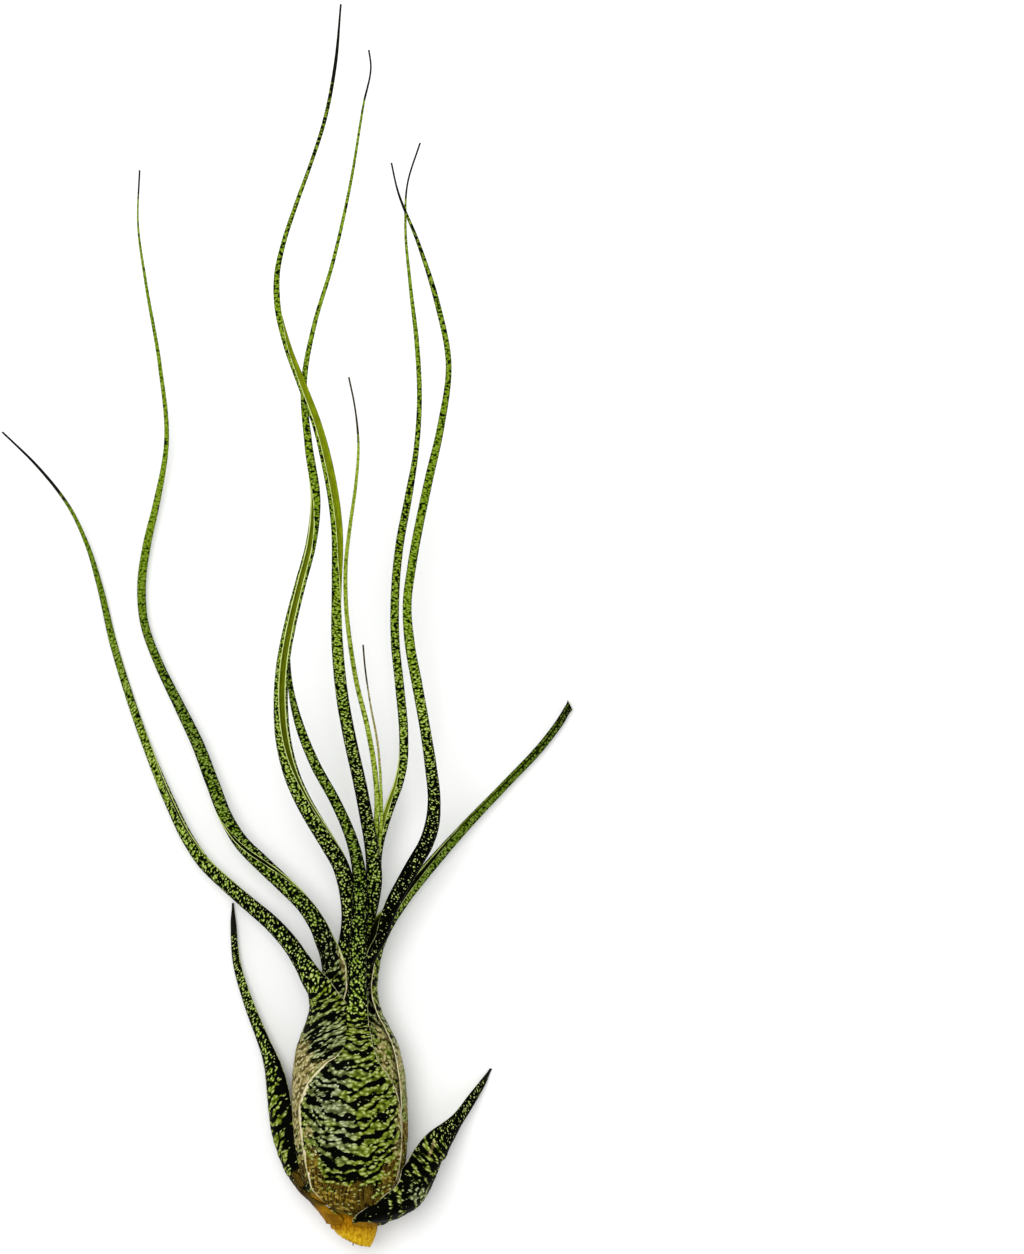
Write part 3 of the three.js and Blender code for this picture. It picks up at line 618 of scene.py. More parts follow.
      ["light", 7, 12, 2, 6, 8, 0.3], ["black", 7.4, 9.6, 0.5, 0.8, 0, 0.5],
      ["black", 8.6, 5.4, 0.5, 0.8, 0, 0.5],
    ],
  },
  {
    "name": "leaf_left_inner", "foot": -13.2, "leave": 21, "layer": -2, "groove_shade": 0.2,
    "dry": [195, 205],
    "turn": [
      [-13.2, -30, 88], [24, -30, 86], [29, -44, 84], [33, -60, 88], [37, -64, 100], [41, -60, 140],
      [46, -70, 158], [50, -80, 166], [56, -105, 168], [62, -128, 170], [66, -140, 168], [72, -156, 161],
      [82, -168, 155], [94, -174, 153], [105, -184, 152], [113, -195, 152], [120, -225, 156],
      [127, -270, 160], [140, -300, 164], [209, -330, 165],
    ],
    "path": [
      [25, -0.5, 10.6, 7], [29, -0.2, 11, 6.2], [33, 0.2, 11.4, 5.2], [37, 0.3, 12, 4.1],
      [41, 0, 12.6, 3.5], [45.3, -0.7, 13.8, 3.4], [49.3, -1.9, 15.4, 3.35], [53.3, -4.1, 17.6, 3.3],
      [57.4, -6.5, 20, 3.3], [61.4, -8.7, 22.3, 3.25], [65.4, -10.5, 24.7, 3.2], [73.4, -12.6, 29.2, 3.1],
      [81.3, -13.1, 33.3, 2.85], [89.2, -12.6, 35.8, 2.6], [97, -11.1, 37.7, 2.4], [104.8, -9.1, 39, 2.2],
      [112.7, -7, 39.6, 2.1], [120.5, -6.1, 40, 2], [132.2, -7.5, 39.5, 1.6], [144, -8.4, 39, 1.2],
      [155, -6.5, 39.1, 0.92], [167.5, -2.8, 39.5, 0.75], [183, 0.7, 39.8, 0.6], [198.8, 3.3, 39.6, 0.45],
      [206.6, 4.7, 39.2, 0.3], [209.4, 4.3, 39, 0.2],
    ],
    "cover": [
      [-13, 0.4], [26, 0.3], [48, 0.32], [60, 0.42], [75, 0.55], [100, 0.6], [125, 0.6], [160, 0.7],
      [209, 0.75],
    ],
    "pale_edge": [
      [-13, 0.1, 0.1], [50, 0.08, 0.08], [58, 0.2, 0.2], [110, 0.2, 0.2], [130, 0.12, 0.12],
      [209, 0.08, 0.08],
    ],
  },
  {
    "name": "leaf_longest", "foot": -10.6, "leave": 21, "layer": -3.15, "groove_shade": -0.1,
    "dry": [196, 210],
    "turn": [
      [-10.6, 5, 78], [46, 5, 78], [52, 0, 100], [60, -10, 125], [90, -70, 140], [98, -82, 132],
      [105, -100, 126], [112, -125, 124], [130, -140, 124], [142, -143, 126], [150, -133, 135],
      [158, -90, 150], [166, -40, 160], [218, 0, 160],
    ],
    "path": [
      [25, 0, 10.6, 4.9], [30, 0.9, 10.8, 4], [34, 1.9, 11, 3.9], [38, 3.1, 11.4, 3.7], [42, 4.2, 12, 3.5],
      [46, 4.8, 12.7, 3.4], [50, 4.7, 13.9, 3], [54, 4.2, 15.4, 2.75], [58.1, 3.5, 17.1, 2.65],
      [65.3, 2.2, 20.4, 2.6], [73.3, 0.5, 24.2, 2.55], [81.2, -0.9, 28, 2.5], [93.1, -1.9, 33.8, 2.45],
      [104.8, -1.8, 39, 2.35], [116.5, -1.9, 42.3, 2.3], [128.2, -3.7, 45, 2.2], [136, -5.7, 46.2, 1.9],
      [143.7, -8.6, 47.4, 1.75], [151.5, -11.5, 47.8, 1.5], [159.3, -13.3, 47.9, 1.3],
      [165, -13.4, 47.6, 1.15], [171, -12.2, 46.9, 0.95], [178.8, -9.7, 46, 0.85], [186.7, -6.9, 45, 0.75],
      [194.6, -4.4, 44, 0.78], [206, -2.2, 42.8, 0.68], [218.1, -1.1, 42, 0.4],
    ],
    "cover": [
      [-11, 0.4], [30, 0.4], [50, 0.38], [62, 0.3], [75, 0.42], [88, 0.56], [105, 0.6], [160, 0.62],
      [180, 0.55], [195, 0.42], [218, 0.2],
    ],
    "pale_edge": [
      [-11, 0.1, 0.1], [95, 0.08, 0.08], [105, 0.03, 0.16], [150, 0.03, 0.16], [165, 0.08, 0.08],
      [218, 0.08, 0.08],
    ],
  },
  {
    "name": "leaf_right_inner", "foot": -10.3, "leave": 21, "layer": -3.15, "groove_shade": -0.5,
    "dry": [176, 188],
    "turn": [
      [-10.3, 185, 78], [46, 185, 78], [50, 175, 120], [54, 160, 142], [58, 148, 146], [62, 138, 148],
      [67, 118, 152], [72, 95, 160], [80, 80, 162], [125, 60, 162], [192, 20, 164],
    ],
    "path": [
      [25, 0, 10.6, 4.9], [30, 0.9, 10.8, 4], [34, 1.9, 11, 3.9], [38, 3.1, 11.4, 3.7],
      [42, 4.2, 11.9, 3.4], [46, 4.9, 12.3, 3.1], [50, 5.1, 12.4, 2.5], [54, 5.9, 12.4, 2.1],
      [58, 7.1, 12.8, 2], [61.2, 8.2, 13.5, 1.95], [65.2, 9.7, 14.5, 1.92], [69.2, 10.6, 15.5, 1.9],
      [75, 10.8, 16.8, 1.87], [85.1, 10, 18.8, 1.8], [93.1, 9.2, 19.9, 1.75], [101, 9.1, 20.6, 1.7],
      [112.9, 10.1, 21.5, 1.65], [122, 11.8, 22, 1.5], [131, 13.3, 22, 1.1], [141, 14, 21.9, 1],
      [152.5, 13.5, 21.4, 0.95], [164, 12.2, 20.8, 0.7], [176.3, 11.2, 20.2, 0.5],
      [184.3, 11.6, 19.7, 0.35], [192.5, 14.1, 19, 0.2],
    ],
    "cover": [
      [-10, 0.4], [46, 0.42], [60, 0.45], [75, 0.52], [100, 0.56], [130, 0.54], [150, 0.66], [192, 0.7],
    ],
    "pale_edge": [
      [-10, 0.1, 0.1], [50, 0.1, 0.1], [58, 0.16, 0.13], [70, 0.13, 0.1], [90, 0.08, 0.08],
      [192, 0.08, 0.08],
    ],
  },
  {
    "name": "leaf_young", "foot": -7.6, "leave": 8, "layer": -6.5, "dry": [128, 141],
    "turn": [[-7.6, -90, 95], [14, -90, 95], [22, -90, 130], [50, -40, 130], [146, 0, 150]],
    "path": [
      [13, -0.5, 10.4, 6.4], [17, -0.6, 10.4, 3.6], [21, -0.7, 10.5, 1.9], [25, -0.5, 10.6, 1.2],
      [30, 0.4, 10.8, 1.1], [34, 1.4, 11, 1.1], [38, 2.6, 11.4, 1.1], [42, 3.7, 12, 1],
      [46, 4.25, 12.6, 1.05], [50, 4.5, 13.1, 1.1], [56, 5.2, 13.6, 1.1], [61.2, 5.5, 14.5, 1.1],
      [69.2, 4.9, 16.8, 1.05], [77.2, 3.5, 19, 1], [85.1, 1.6, 21, 0.95], [93.1, 0.3, 22.6, 0.9],
      [101, -0.5, 23.8, 0.85], [108.9, -0.5, 25, 0.8], [116.8, 0.4, 25.4, 0.72], [124.7, 1.5, 25.8, 0.64],
      [132.6, 2, 26, 0.5], [140.5, 1.2, 26, 0.32], [145.8, 0.1, 26, 0.2],
    ],
    "cover": [[-8, 0.6], [60, 0.66], [90, 0.74], [146, 0.85]],
    "pale_edge": [[-8, 0.15, 0.15], [60, 0.15, 0.18], [146, 0.1, 0.1]],
  },
  {
    "name": "leaf_youngest", "foot": 7.3, "leave": 7.3, "layer": 0, "dry": [78, 92],
    "turn": [[7.3, 90, 130], [93, 90, 150]],
    "path": [
      [10, -0.2, 10.3, 0.7], [17, 0.1, 10.4, 0.7], [21, 0.4, 10.5, 0.7], [25, 0.6, 10.6, 0.7],
      [30, 1.4, 10.8, 0.7], [34, 2.4, 11, 0.7], [38, 3.6, 11.4, 0.7], [42, 4.7, 11.8, 0.7],
      [46, 5.3, 12.1, 0.7], [50, 5.5, 12.6, 0.7], [56, 6.2, 13.7, 0.7], [61, 6.3, 14.2, 0.7],
      [65.2, 6.2, 14.6, 0.6], [73.2, 5.6, 16, 0.5], [81.1, 4.2, 17.8, 0.4], [89.1, 3.1, 19.3, 0.25],
      [92.9, 2.8, 20, 0.2],
    ],
    "cover": [[7, 0.75], [93, 0.8]],
    "pale_edge": [[7, 0.1, 0.14], [93, 0.1, 0.1]],
    "patches": [["paper", 4.8, 82, 5, 14, 0, 0.9], ["gold", 4.8, 82, 5, 14, 0, 0.5]],
  },
]

# Points across a leaf and gaps between its rings, which lie closest on a wide sheath
OUTER_POINTS = 45
INNER_POINTS = 12
RING_GAP = 0.28
BLADE_RING_GAP = 0.75
CLOSE_RINGS_RADIUS = 4.5
WIDE_RINGS_RADIUS = 1.0
WALK_STEPS = 6000
SLOPE_REACH = 0.05
MARGIN_WALL = 0.25
TORN_LENGTH = 2.6
FRAY = 0.035
WHOLE_RADIUS = 1.2
FRAYED_RADIUS = 4

# Between the first two radii a blade turns into a sheath, between the others a thin blade into a thick one
BLADE_RADIUS = 1.5
SHEATH_RADIUS = 4.8
THIN_BLADE_RADIUS = 1.2
THICK_BLADE_RADIUS = 1.75

# The skin is a dark ground with rounded pale cells. On the sheath they are larger and stand in wavy rows
# across the leaf, which sag towards its middle and stand up a little.
BLADE_CELL = 0.42
THICK_BLADE_CELL = 0.64
SHEATH_CELL = 0.78
BLADE_STRETCH = 0.8
CELL_STRETCH = 0.25
SKIN_SHIFT = 40
ROW_SAG = 0.75
ROW_ROUND = 6.0
ROW_STRETCH = 0.8
ROW_LENGTHS = [1.9, 2.5, 3.3, 4.6]
ROW_LEANS = [-0.2, 0.14, -0.04, 0.28]
ROW_SWING = 0.9
# How the rows wander: depth, rate across, swing, rate along, shift
ROW_WAVES = [[0.55, 1.3, 1.8, 0.5, 1], [0.34, 2.7, 2, 0.8, 2]]
ROW_CONTRAST = 2.0
ROW_WEIGHT = 0.6
BLADE_ROW_WEIGHT = 0.12
ROW_RELIEF = 0.05
BLADE_RELIEF = 0.012
TALLEST_ROW = 1.2
SMOOTH_MARGIN = 0.2
FULL_RELIEF = 1.2
PATCH_CORE = 0.5
PATCH_RIM = 1.5
PAPER_COVER = 0.3
# Painted shade on the blades: how much green cover is taken from their sides that turn away from the light
# above, and how far out that begins
FLANK_PAINTED_SHADE = 0.26
FLANK_PAINTED_SHADE_START = 0.6
GOLD_UNDER_BLACK = 0.4
GOLD_ROW_LOSS = 0.6
EDGE_UNEVENNESS = 0.3
EDGE_START = 0.05
FAINTER_SCALES_FROM = 70
FAINTEST_SCALES_FROM = 120
CELL_DEPTH = 0.12 * MM
NO_SHARE = [[0, 0], [1, 0]]


def sheath_radius(leaf, y):
    """Radius of a sheath, which opens like a cup from the stem and then follows the bulb."""
    full = curve(BULB_RADIUS, 1, y, True) + leaf["layer"] * LAYER_STEP
    start = curve(STEM_RADIUS, 1, leaf["foot"], True) + STEM_GAP + WALL
    u = np.clip((y - leaf["foot"]) / FOOT_LENGTH, 0, 1)
    return start + (full - start) * (1 - (1 - u) ** 2) ** leaf.get("cup", 0.5)


def path_rows(leaf):
    """Rows of a leaf's path, begun on the axis. The innermost leaf has no sheath."""
    foot, leave = leaf["foot"], leaf["leave"]
    if leave == foot:
        return [[foot, AXIS_LEAN * foot, AXIS_HEIGHT, 0], *leaf["path"]]
    held = [max(foot, leave - SHEATH_STEP), leave]
    return [*([y, AXIS_LEAN * y, AXIS_HEIGHT, 2 * sheath_radius(leaf, y)] for y in held), *leaf["path"]]


def section(leaf, y):
    """Middle, radius, facing and half angle of a leaf's curved section at the places y."""
    rows = path_rows(leaf)
    facing = np.radians(curve(leaf["turn"], 1, y, True))
    half = np.radians(curve(leaf["turn"], 2, y, True))
    held = (y <= leaf["leave"]) & (leaf["leave"] > leaf["foot"])
    width = np.maximum(curve(rows, 3, y, True), THINNEST_BLADE)
    x = np.where(held, AXIS_LEAN * y, curve(rows, 1, y))
    z = np.where(held, AXIS_HEIGHT, curve(rows, 2, y))
    return x, z, np.where(held, sheath_radius(leaf, y), width / 2), facing, half


def ring_places(leaf):
    """Places of the rings along a leaf, and how far each lies from the foot along the surface."""
    y = np.linspace(leaf["foot"], leaf["path"][-1][0], WALK_STEPS)
    x, z, radius, _, _ = section(leaf, y)
    walk = np.sqrt(sum(np.diff(v) ** 2 for v in (x, y, z, radius)))
    narrow = rise(CLOSE_RINGS_RADIUS, WIDE_RINGS_RADIUS, radius[1:])
    gap = RING_GAP + (BLADE_RING_GAP - RING_GAP) * narrow
    number = np.concatenate([[0], np.cumsum(walk / gap)])
    ring = np.linspace(0, number[-1], round(number[-1]) + 1)
    places = np.interp(ring, number, y)
    return places, np.interp(places, y, np.concatenate([[0], np.cumsum(walk)]))


def unit(vectors):
    return vectors / np.linalg.norm(vectors, axis=-1, keepdims=True)


def cross_rows(lengthwise, crosswise, seed):
    """Wavy rows across the leaf at places given in cells: about -1 in the dark gaps and 1 on the rows."""
    start = np.random.default_rng(seed).uniform(0, 2 * np.pi, len(ROW_LENGTHS))
    place = lengthwise
    for depth, across, swing, along, shift in ROW_WAVES:
        bend = swing * np.sin(lengthwise * along + shift * seed)
        place = place + depth * np.sin(crosswise * across + bend)
    total = 0
    for length, lean, first in zip(ROW_LENGTHS, ROW_LEANS, start):
        total = total + np.sin(2 * np.pi * (place + crosswise * lean) / length + first)
    return total / len(ROW_LENGTHS) ** 0.5 * ROW_SWING


def patch_share(leaf, kind, x, y):
    """How strongly the patches of one kind cover each place of the leaf, seen from above."""
    share = np.zeros_like(x)
    for what, middle_x, middle_y, half_x, half_y, turn, strength in leaf.get("patches", []):
        if what == kind:
            c, s = np.cos(np.radians(turn)), np.sin(np.radians(turn))
            u = ((x - middle_x) * c + (y - middle_y) * s) / half_x
            v = ((y - middle_y) * c - (x - middle_x) * s) / half_y
            share = share + strength * rise(PATCH_RIM, PATCH_CORE, np.hypot(u, v))
    return share


def leaf_mesh(leaf, seed):
    """Rings of points along a leaf, and what its skin reads at each of them."""
    y, reach = ring_places(leaf)
    x, z, radius, facing, half = section(leaf, y)
    x_before, z_before, radius_before, _, _ = section(leaf, y - SLOPE_REACH)
    x_after, z_after, radius_after, _, _ = section(leaf, y + SLOPE_REACH)
    free = np.clip((HELD_RADIUS - radius) / (HELD_RADIUS - FREE_RADIUS), 0, 1)[:, None]
    course = np.stack([x_after - x_before, np.full_like(y, 2 * SLOPE_REACH), z_after - z_before], -1)
    tangent = unit((1 - free) * [0, 1, 0] + free * unit(course))
    back = np.stack([np.sin(facing), 0 * y, np.cos(facing)], -1)
    back = unit(back - (back * tangent).sum(-1, keepdims=True) * tangent)
    side = np.cross(tangent, back)
    flare = (radius_after - radius_before) / (2 * SLOPE_REACH) * (1 - free[:, 0])
    slant = np.hypot(1, flare)

    # Across the section: the outer face from margin to margin, then the inner face back
    outer = np.linspace(-1, 1, OUTER_POINTS)
    inner = np.linspace(1, -1, INNER_POINTS)
    across = np.concatenate([outer, inner])
    inside = np.concatenate([0 * outer, 0 * inner + 1])
    fray = FRAY * waves(reach, seed, count=7, shortest=2.4, longest=12)
    fray = fray * rise(WHOLE_RADIUS, FRAYED_RADIUS, radius)
    ends = half + fray / radius
    angle = ends[:, None] * across
    arc = angle * radius[:, None]
    from_margin = ends[:, None] * radius[:, None] * (1 - np.abs(across))
    sheath = rise(BLADE_RADIUS, SHEATH_RADIUS, radius)[:, None]

    # Places in cells, and the rows they stand in
    thick = rise(THIN_BLADE_RADIUS, THICK_BLADE_RADIUS, radius)[:, None]
    cell = BLADE_CELL + (THICK_BLADE_CELL - BLADE_CELL) * thick + (SHEATH_CELL - THICK_BLADE_CELL) * sheath
    cell = cell[:, 0]
    lengthwise = np.concatenate([[0], np.cumsum(np.diff(reach) / cell[1:])])[:, None]
    crosswise = arc / cell[:, None]
    sag = np.hypot(arc, ROW_ROUND) - ROW_ROUND
    slanted = lengthwise + leaf.get("lean", 0) * crosswise
    stretch = 1 + BLADE_STRETCH * (1 - thick) + leaf.get("stretch", CELL_STRETCH) * sheath
    place = np.stack([slanted + SKIN_SHIFT * seed, crosswise / stretch, np.full_like(arc, seed)], -1)
    sagged = slanted - ROW_SAG * sag / cell[:, None]
    rows = cross_rows(sagged, crosswise / (1 + ROW_STRETCH * sheath), seed)

    # Relief, wall and groove
    relief = (BLADE_RELIEF + ROW_RELIEF * sheath) * np.clip(rows, -TALLEST_ROW, TALLEST_ROW)
    relief = relief * rise(SMOOTH_MARGIN, FULL_RELIEF, from_margin)
    wall = WALL * (MARGIN_WALL + (1 - MARGIN_WALL) * np.sqrt(1 - across**4))
    hollow = np.maximum(radius[:, None] - wall / slant[:, None], LEAST_GROOVE * radius[:, None])
    distance = np.where(inside > 0, hollow, radius[:, None] + relief)
    slide = (inside * wall) * (flare / slant)[:, None]

    # Points: each lies out from the middle of its section, and a torn end slants along the leaf
    out = back[:, None] * np.cos(angle)[..., None] + side[:, None] * np.sin(angle)[..., None]
    out = out * distance[..., None]
    torn = leaf.get("torn_tip", 0) * rise(y[-1] - TORN_LENGTH, y[-1], y)[:, None]
    aside = np.stack([tangent[:, 1], -tangent[:, 0], 0 * y], -1)
    slide = slide - torn * (out * aside[:, None]).sum(-1)
    flatten = BULB_FLATTENING + (1 - BULB_FLATTENING) * free
    points = np.stack([
        x[:, None] + out[..., 0] + slide * tangent[:, None, 0],
        y[:, None] + out[..., 1] + slide * tangent[:, None, 1],
        np.maximum(z[:, None] + out[..., 2] * flatten + slide * tangent[:, None, 2], 0),
    ], -1)

    # Faces: the skin between the rings, then the two ends, where several outer points meet one inner point
    rings, around = points.shape[:2]
    faces = ring_faces(rings, around)
    share = (OUTER_POINTS - 1) // (INNER_POINTS - 1)
    for j in range(INNER_POINTS - 1):
        rim = [j * share + k for k in range(share + 1)]
        low = around - 1 - j
        faces.append([rim[0], low, low - 1, *rim[:0:-1]])
        last = (rings - 1) * around
        faces.append([last + i for i in (*rim, low - 1, low)])

    # What the skin's material reads at each point
    seen = [points[..., 0], points[..., 1]]
    wide = np.ones_like(arc)
    black = patch_share(leaf, "black", *seen)
    light = patch_share(leaf, "light", *seen)
    paper = patch_share(leaf, "paper", *seen)
    cover = curve(leaf["cover"], 1, y, True)[:, None] + light - black + PAPER_COVER * np.minimum(paper, 1)
    gold = np.clip(patch_share(leaf, "gold", *seen) - GOLD_UNDER_BLACK * black, 0, 1)
    bold = np.tanh(ROW_CONTRAST * rows) * (1 - GOLD_ROW_LOSS * gold)
    cover = cover + (BLADE_ROW_WEIGHT + (ROW_WEIGHT - BLADE_ROW_WEIGHT) * sheath) * bold
    # Painted shade: less green cover, so more dark ground, where a blade's surface turns sideways from the
    # light above
    level = np.hypot(out[..., 0], out[..., 1]) / distance
    cover = cover - FLANK_PAINTED_SHADE * (1 - sheath) * rise(FLANK_PAINTED_SHADE_START, 1, level)
    uneven = waves(reach, seed + 50, count=6, shortest=1.2, longest=7)[:, None]
    uneven = 1 + EDGE_UNEVENNESS * uneven
    left = curve(leaf["pale_edge"], 1, y, True)[:, None] * uneven
    right = curve(leaf["pale_edge"], 2, y, True)[:, None] * uneven
    marks = {
        "place": place,
        "cover": cover,
        "inside": inside * wide,
        # depth carries the painted shade at the middle of the groove, and below 0 its painted light
        "depth": leaf.get("groove_shade", 1) * inside * (1 - across**2) * wide,
        "dry": rise(*leaf["dry"], y)[:, None] * wide,
        "sheath": sheath * wide,
        "faint": rise(FAINTER_SCALES_FROM, FAINTEST_SCALES_FROM, y)[:, None] * wide,
        "deep": curve(leaf.get("deep", NO_SHARE), 1, y)[:, None] * wide,
        "edge": (from_margin + EDGE_START) / np.where(across < 0, left, right),
        "grey": patch_share(leaf, "grey", *seen),
        "paper": np.minimum(paper, 1),
        "gold": gold,
        "amber": patch_share(leaf, "amber", *seen),
    }
    marks = {key: values.reshape(rings * around, -1).squeeze() for key, values in marks.items()}
    return points.reshape(-1, 3), faces, marks


def mottling_group():
    """Rounded pale cells on a dark ground, at places given in cells.

    Cover is the share that the cells fill, and Clumps is how unevenly they fill it. Cells is their mask,
    Body their paler middle, partly the cells' own tone and partly painted light on their raised middles,
    Speck the pale scale on some of them, partly its own colour and partly a painted glint, and Fine and
    Broad are noises.
    """
    tree = bpy.data.node_groups.new("mottling", "ShaderNodeTree")
    tree.interface.new_socket("Place", in_out="INPUT", socket_type="NodeSocketVector")
    for name in ("Cover", "Clumps"):
        tree.interface.new_socket(name, in_out="INPUT", socket_type="NodeSocketFloat")
    for name in ("Cells", "Body", "Speck", "Fine", "Broad", "Height"):
        tree.interface.new_socket(name, in_out="OUTPUT", socket_type="NodeSocketFloat")
    n = Nodes(tree)
    given = n.add("NodeGroupInput")
    place, cover = given.outputs["Place"], given.outputs["Cover"]

    # Places bent a little, and the cells that stand round their middles
    fine = n.noise(place, scale=2.1)
    broad = n.noise(place, scale=0.13)
    bend = n.add("ShaderNodeTexNoise", {"Vector": place, "Scale": 0.8, "Detail": 1.0}).outputs["Color"]
    bend = n.add("ShaderNodeVectorMath", {0: bend, 1: (-0.5, -0.5, -0.5)}, operation="ADD").outputs[0]
    bent = n.add("ShaderNodeVectorMath", {0: bend, 1: (1.3, 1.3, 0), 2: place}, operation="MULTIPLY_ADD")
    inputs = {"Vector": bent.outputs[0], "Scale": 1.0, "Randomness": 0.95}
    cells = n.add("ShaderNodeTexVoronoi", inputs, voronoi_dimensions="2D")
    distance = cells.outputs["Distance"]
    lot = n.add("ShaderNodeSeparateColor", {0: cells.outputs["Color"]}).outputs[0]

    # How far inside its cell a place lies: cells grow with the cover, each by its own lot and in clumps
    over = n.math("SUBTRACT", n.math("MULTIPLY_ADD", fine, 0.4, cover), distance)
    over = n.math("MULTIPLY_ADD", lot, 0.26, over)
    clump = n.math("SUBTRACT", n.noise(place, scale=0.34, detail=1.0), 0.5)
    over = n.math("MULTIPLY_ADD", clump, given.outputs["Clumps"], over)
    over = n.math("SUBTRACT", over, 0.34)

    # Scales at the middles of most cells, partly their own pale colour and partly a painted glint, and the
    # relief
    speck = n.math("MULTIPLY", n.step(distance, 0.4, 0.0), n.step(lot, 0.0, 0.5))
    opened = n.step(over, -0.04, 0.05)
    height = n.math("MULTIPLY_ADD", speck, 0.5, n.math("MULTIPLY_ADD", fine, 0.4, opened))
    body = n.math("MULTIPLY", n.step(over, -0.02, 0.26), n.step(distance, 0.8, 0.2))
    speck = n.math("MULTIPLY", speck, opened)
    shown = {"Cells": opened, "Body": body, "Speck": speck, "Fine": fine, "Broad": broad, "Height": height}
    n.add("NodeGroupOutput", shown)
    return tree


def skin_material(name, mottling, colours):
    """Living skin with pale margins, a smooth groove, a dead tip, and papery, golden and amber places."""
    made, shader = material(name, roughness=0.5, specular=0.01)
    n = Nodes(made.node_tree)
    place, sheath, grey = n.mark("place", "Vector"), n.mark("sheath"), n.mark("grey")
    skin = n.add("ShaderNodeGroup", node_tree=mottling)
    n.put(skin.inputs["Place"], place)
    n.put(skin.inputs["Cover"], n.mark("cover"))
    n.put(skin.inputs["Clumps"], n.step(sheath, 0.0, 1.0, 0.1, 0.6))
    cells, body, speck, fine, broad, height = skin.outputs
    grain = n.add("ShaderNodeMapping", {"Vector": place, "Scale": (0.22, 3.4, 1.0)}).outputs[0]
    streak = n.noise(grain, scale=1.0, detail=3.0)
    blotch = n.noise(place, scale=0.45, detail=3.0)

    # Where a place is papery, golden or amber, ragged at its border
    ragged = n.math("MULTIPLY_ADD", fine, 1.0, n.math("MULTIPLY", blotch, 2.2))
    ragged = n.math("SUBTRACT", ragged, 1.6)
    paper_mark, gold_mark = n.mark("paper"), n.mark("gold")
    paper = n.step(n.math("ADD", paper_mark, ragged), 0.3, 0.75)
    paper = n.math("MULTIPLY", paper, n.step(paper_mark, 0.02, 0.2))
    golden = n.math("MULTIPLY_ADD", streak, 0.9, n.math("SUBTRACT", ragged, 0.3))
    golden = n.math("MULTIPLY_ADD", cells, -0.45, golden)
    gold = n.step(n.math("ADD", gold_mark, golden), 0.3, 0.7)
    gold = n.math("MULTIPLY", gold, n.step(gold_mark, 0.02, 0.2))
    amber = n.step(n.math("MULTIPLY_ADD", ragged, 0.5, n.mark("amber")), 0.35, 0.65)

    # Green cells: yellow-green on the blade, duller on the sheath, greyer or papery in places
    grey = n.math("MULTIPLY", grey, n.step(broad, 0.32, 0.48))
    dark = n.mix(paper, colours["dark"], colours["paper_dark"])
    deep = n.mix(sheath, colours["blade_deep"], colours["sheath_deep"])
    deep = n.mix(grey, deep, colours["grey_deep"])
    deep = n.mix(paper, deep, colours["paper_deep"])
    light = n.mix(sheath, colours["blade"], colours["sheath"])
    light = n.mix(grey, light, colours["grey"])
    tan = n.mix(n.step(streak, 0.4, 0.62), colours["paper"], colours["paper_warm"])
    light = n.mix(paper, light, tan)
    pale = n.mix(sheath, colours["blade_pale"], colours["sheath_pale"])
    pale = n.mix(grey, pale, colours["grey_pale"])
    pale = n.mix(paper, pale, colours["cream"])
    # The paler middles of the cells and the pale specks are partly the skin's own colour and partly painted
    # light: lit middles on the raised cells and painted glints on the scales
    lit = n.step(n.mark("deep"), 0.0, 1.0, 1.0, 0.2)
    green = n.mix(n.math("MULTIPLY", body, lit), deep, light)
    strength = n.math("MULTIPLY", speck, n.step(n.mark("faint"), 0.0, 1.0, 0.95, 0.25))
    strength = n.math("MULTIPLY", strength, n.step(sheath, 0.0, 1.0, 1.0, 0.75))
    strength = n.math("MULTIPLY", strength, lit)
    green = n.mix(strength, green, pale)
    colour = n.mix(cells, dark, green)

    # Golden foot: lengthwise dark fibres, with the cells showing through a little
    grained = n.math("MULTIPLY_ADD", fine, 0.6, streak)
    fibre = n.mix(n.step(grained, 0.66, 0.9), colours["gold_deep"], colours["gold"])
    fibre = n.mix(n.math("MULTIPLY", speck, 0.6), fibre, colours["gold_pale"])
    fibre = n.mix(n.step(cells, 0.0, 1.0, 0.65, 0.0), fibre, colours["gold_dark"])
    colour = n.mix(gold, colour, fibre)
    rind = n.mix(n.step(blotch, 0.38, 0.62), colours["amber_deep"], colours["amber"])
    colour = n.mix(amber, colour, rind)

    # Inner face: smooth, with painted shade darkest at the bottom of the groove, and painted light there
    # instead where the groove shade is below 0
    hollow = n.mix(n.step(streak, 0.35, 0.65), colours["groove_deep"], colours["groove"])
    hollow = n.mix(n.step(n.mark("depth"), 0.0, 0.7, 0.0, 0.95), hollow, colours["dark"])
    hollow = n.mix(n.step(n.mark("depth"), 0.0, -0.7, 0.0, 0.75), hollow, colours["groove_painted_light"])
    colour = n.mix(n.mark("inside"), colour, hollow)

    # Pale margin and dead tip
    edge = n.step(n.math("MULTIPLY_ADD", fine, 0.9, n.mark("edge")), 1.6, 1.2)
    rim = n.mix(n.step(blotch, 0.5, 0.66), colours["cream"], colours["paper"])
    rim = n.mix(sheath, colours["blade_pale"], rim)
    colour = n.mix(edge, colour, rim)
    tip = n.step(n.math("MULTIPLY_ADD", blotch, 1.2, n.mark("dry")), 0.85, 1.15)
    colour = n.mix(tip, colour, colours["dry"])
    n.put(shader.inputs["Base Color"], colour)
    bump = n.add("ShaderNodeBump", {"Strength": 0.5, "Distance": CELL_DEPTH, "Height": height})
    n.put(shader.inputs["Normal"], bump.outputs["Normal"])
    return made


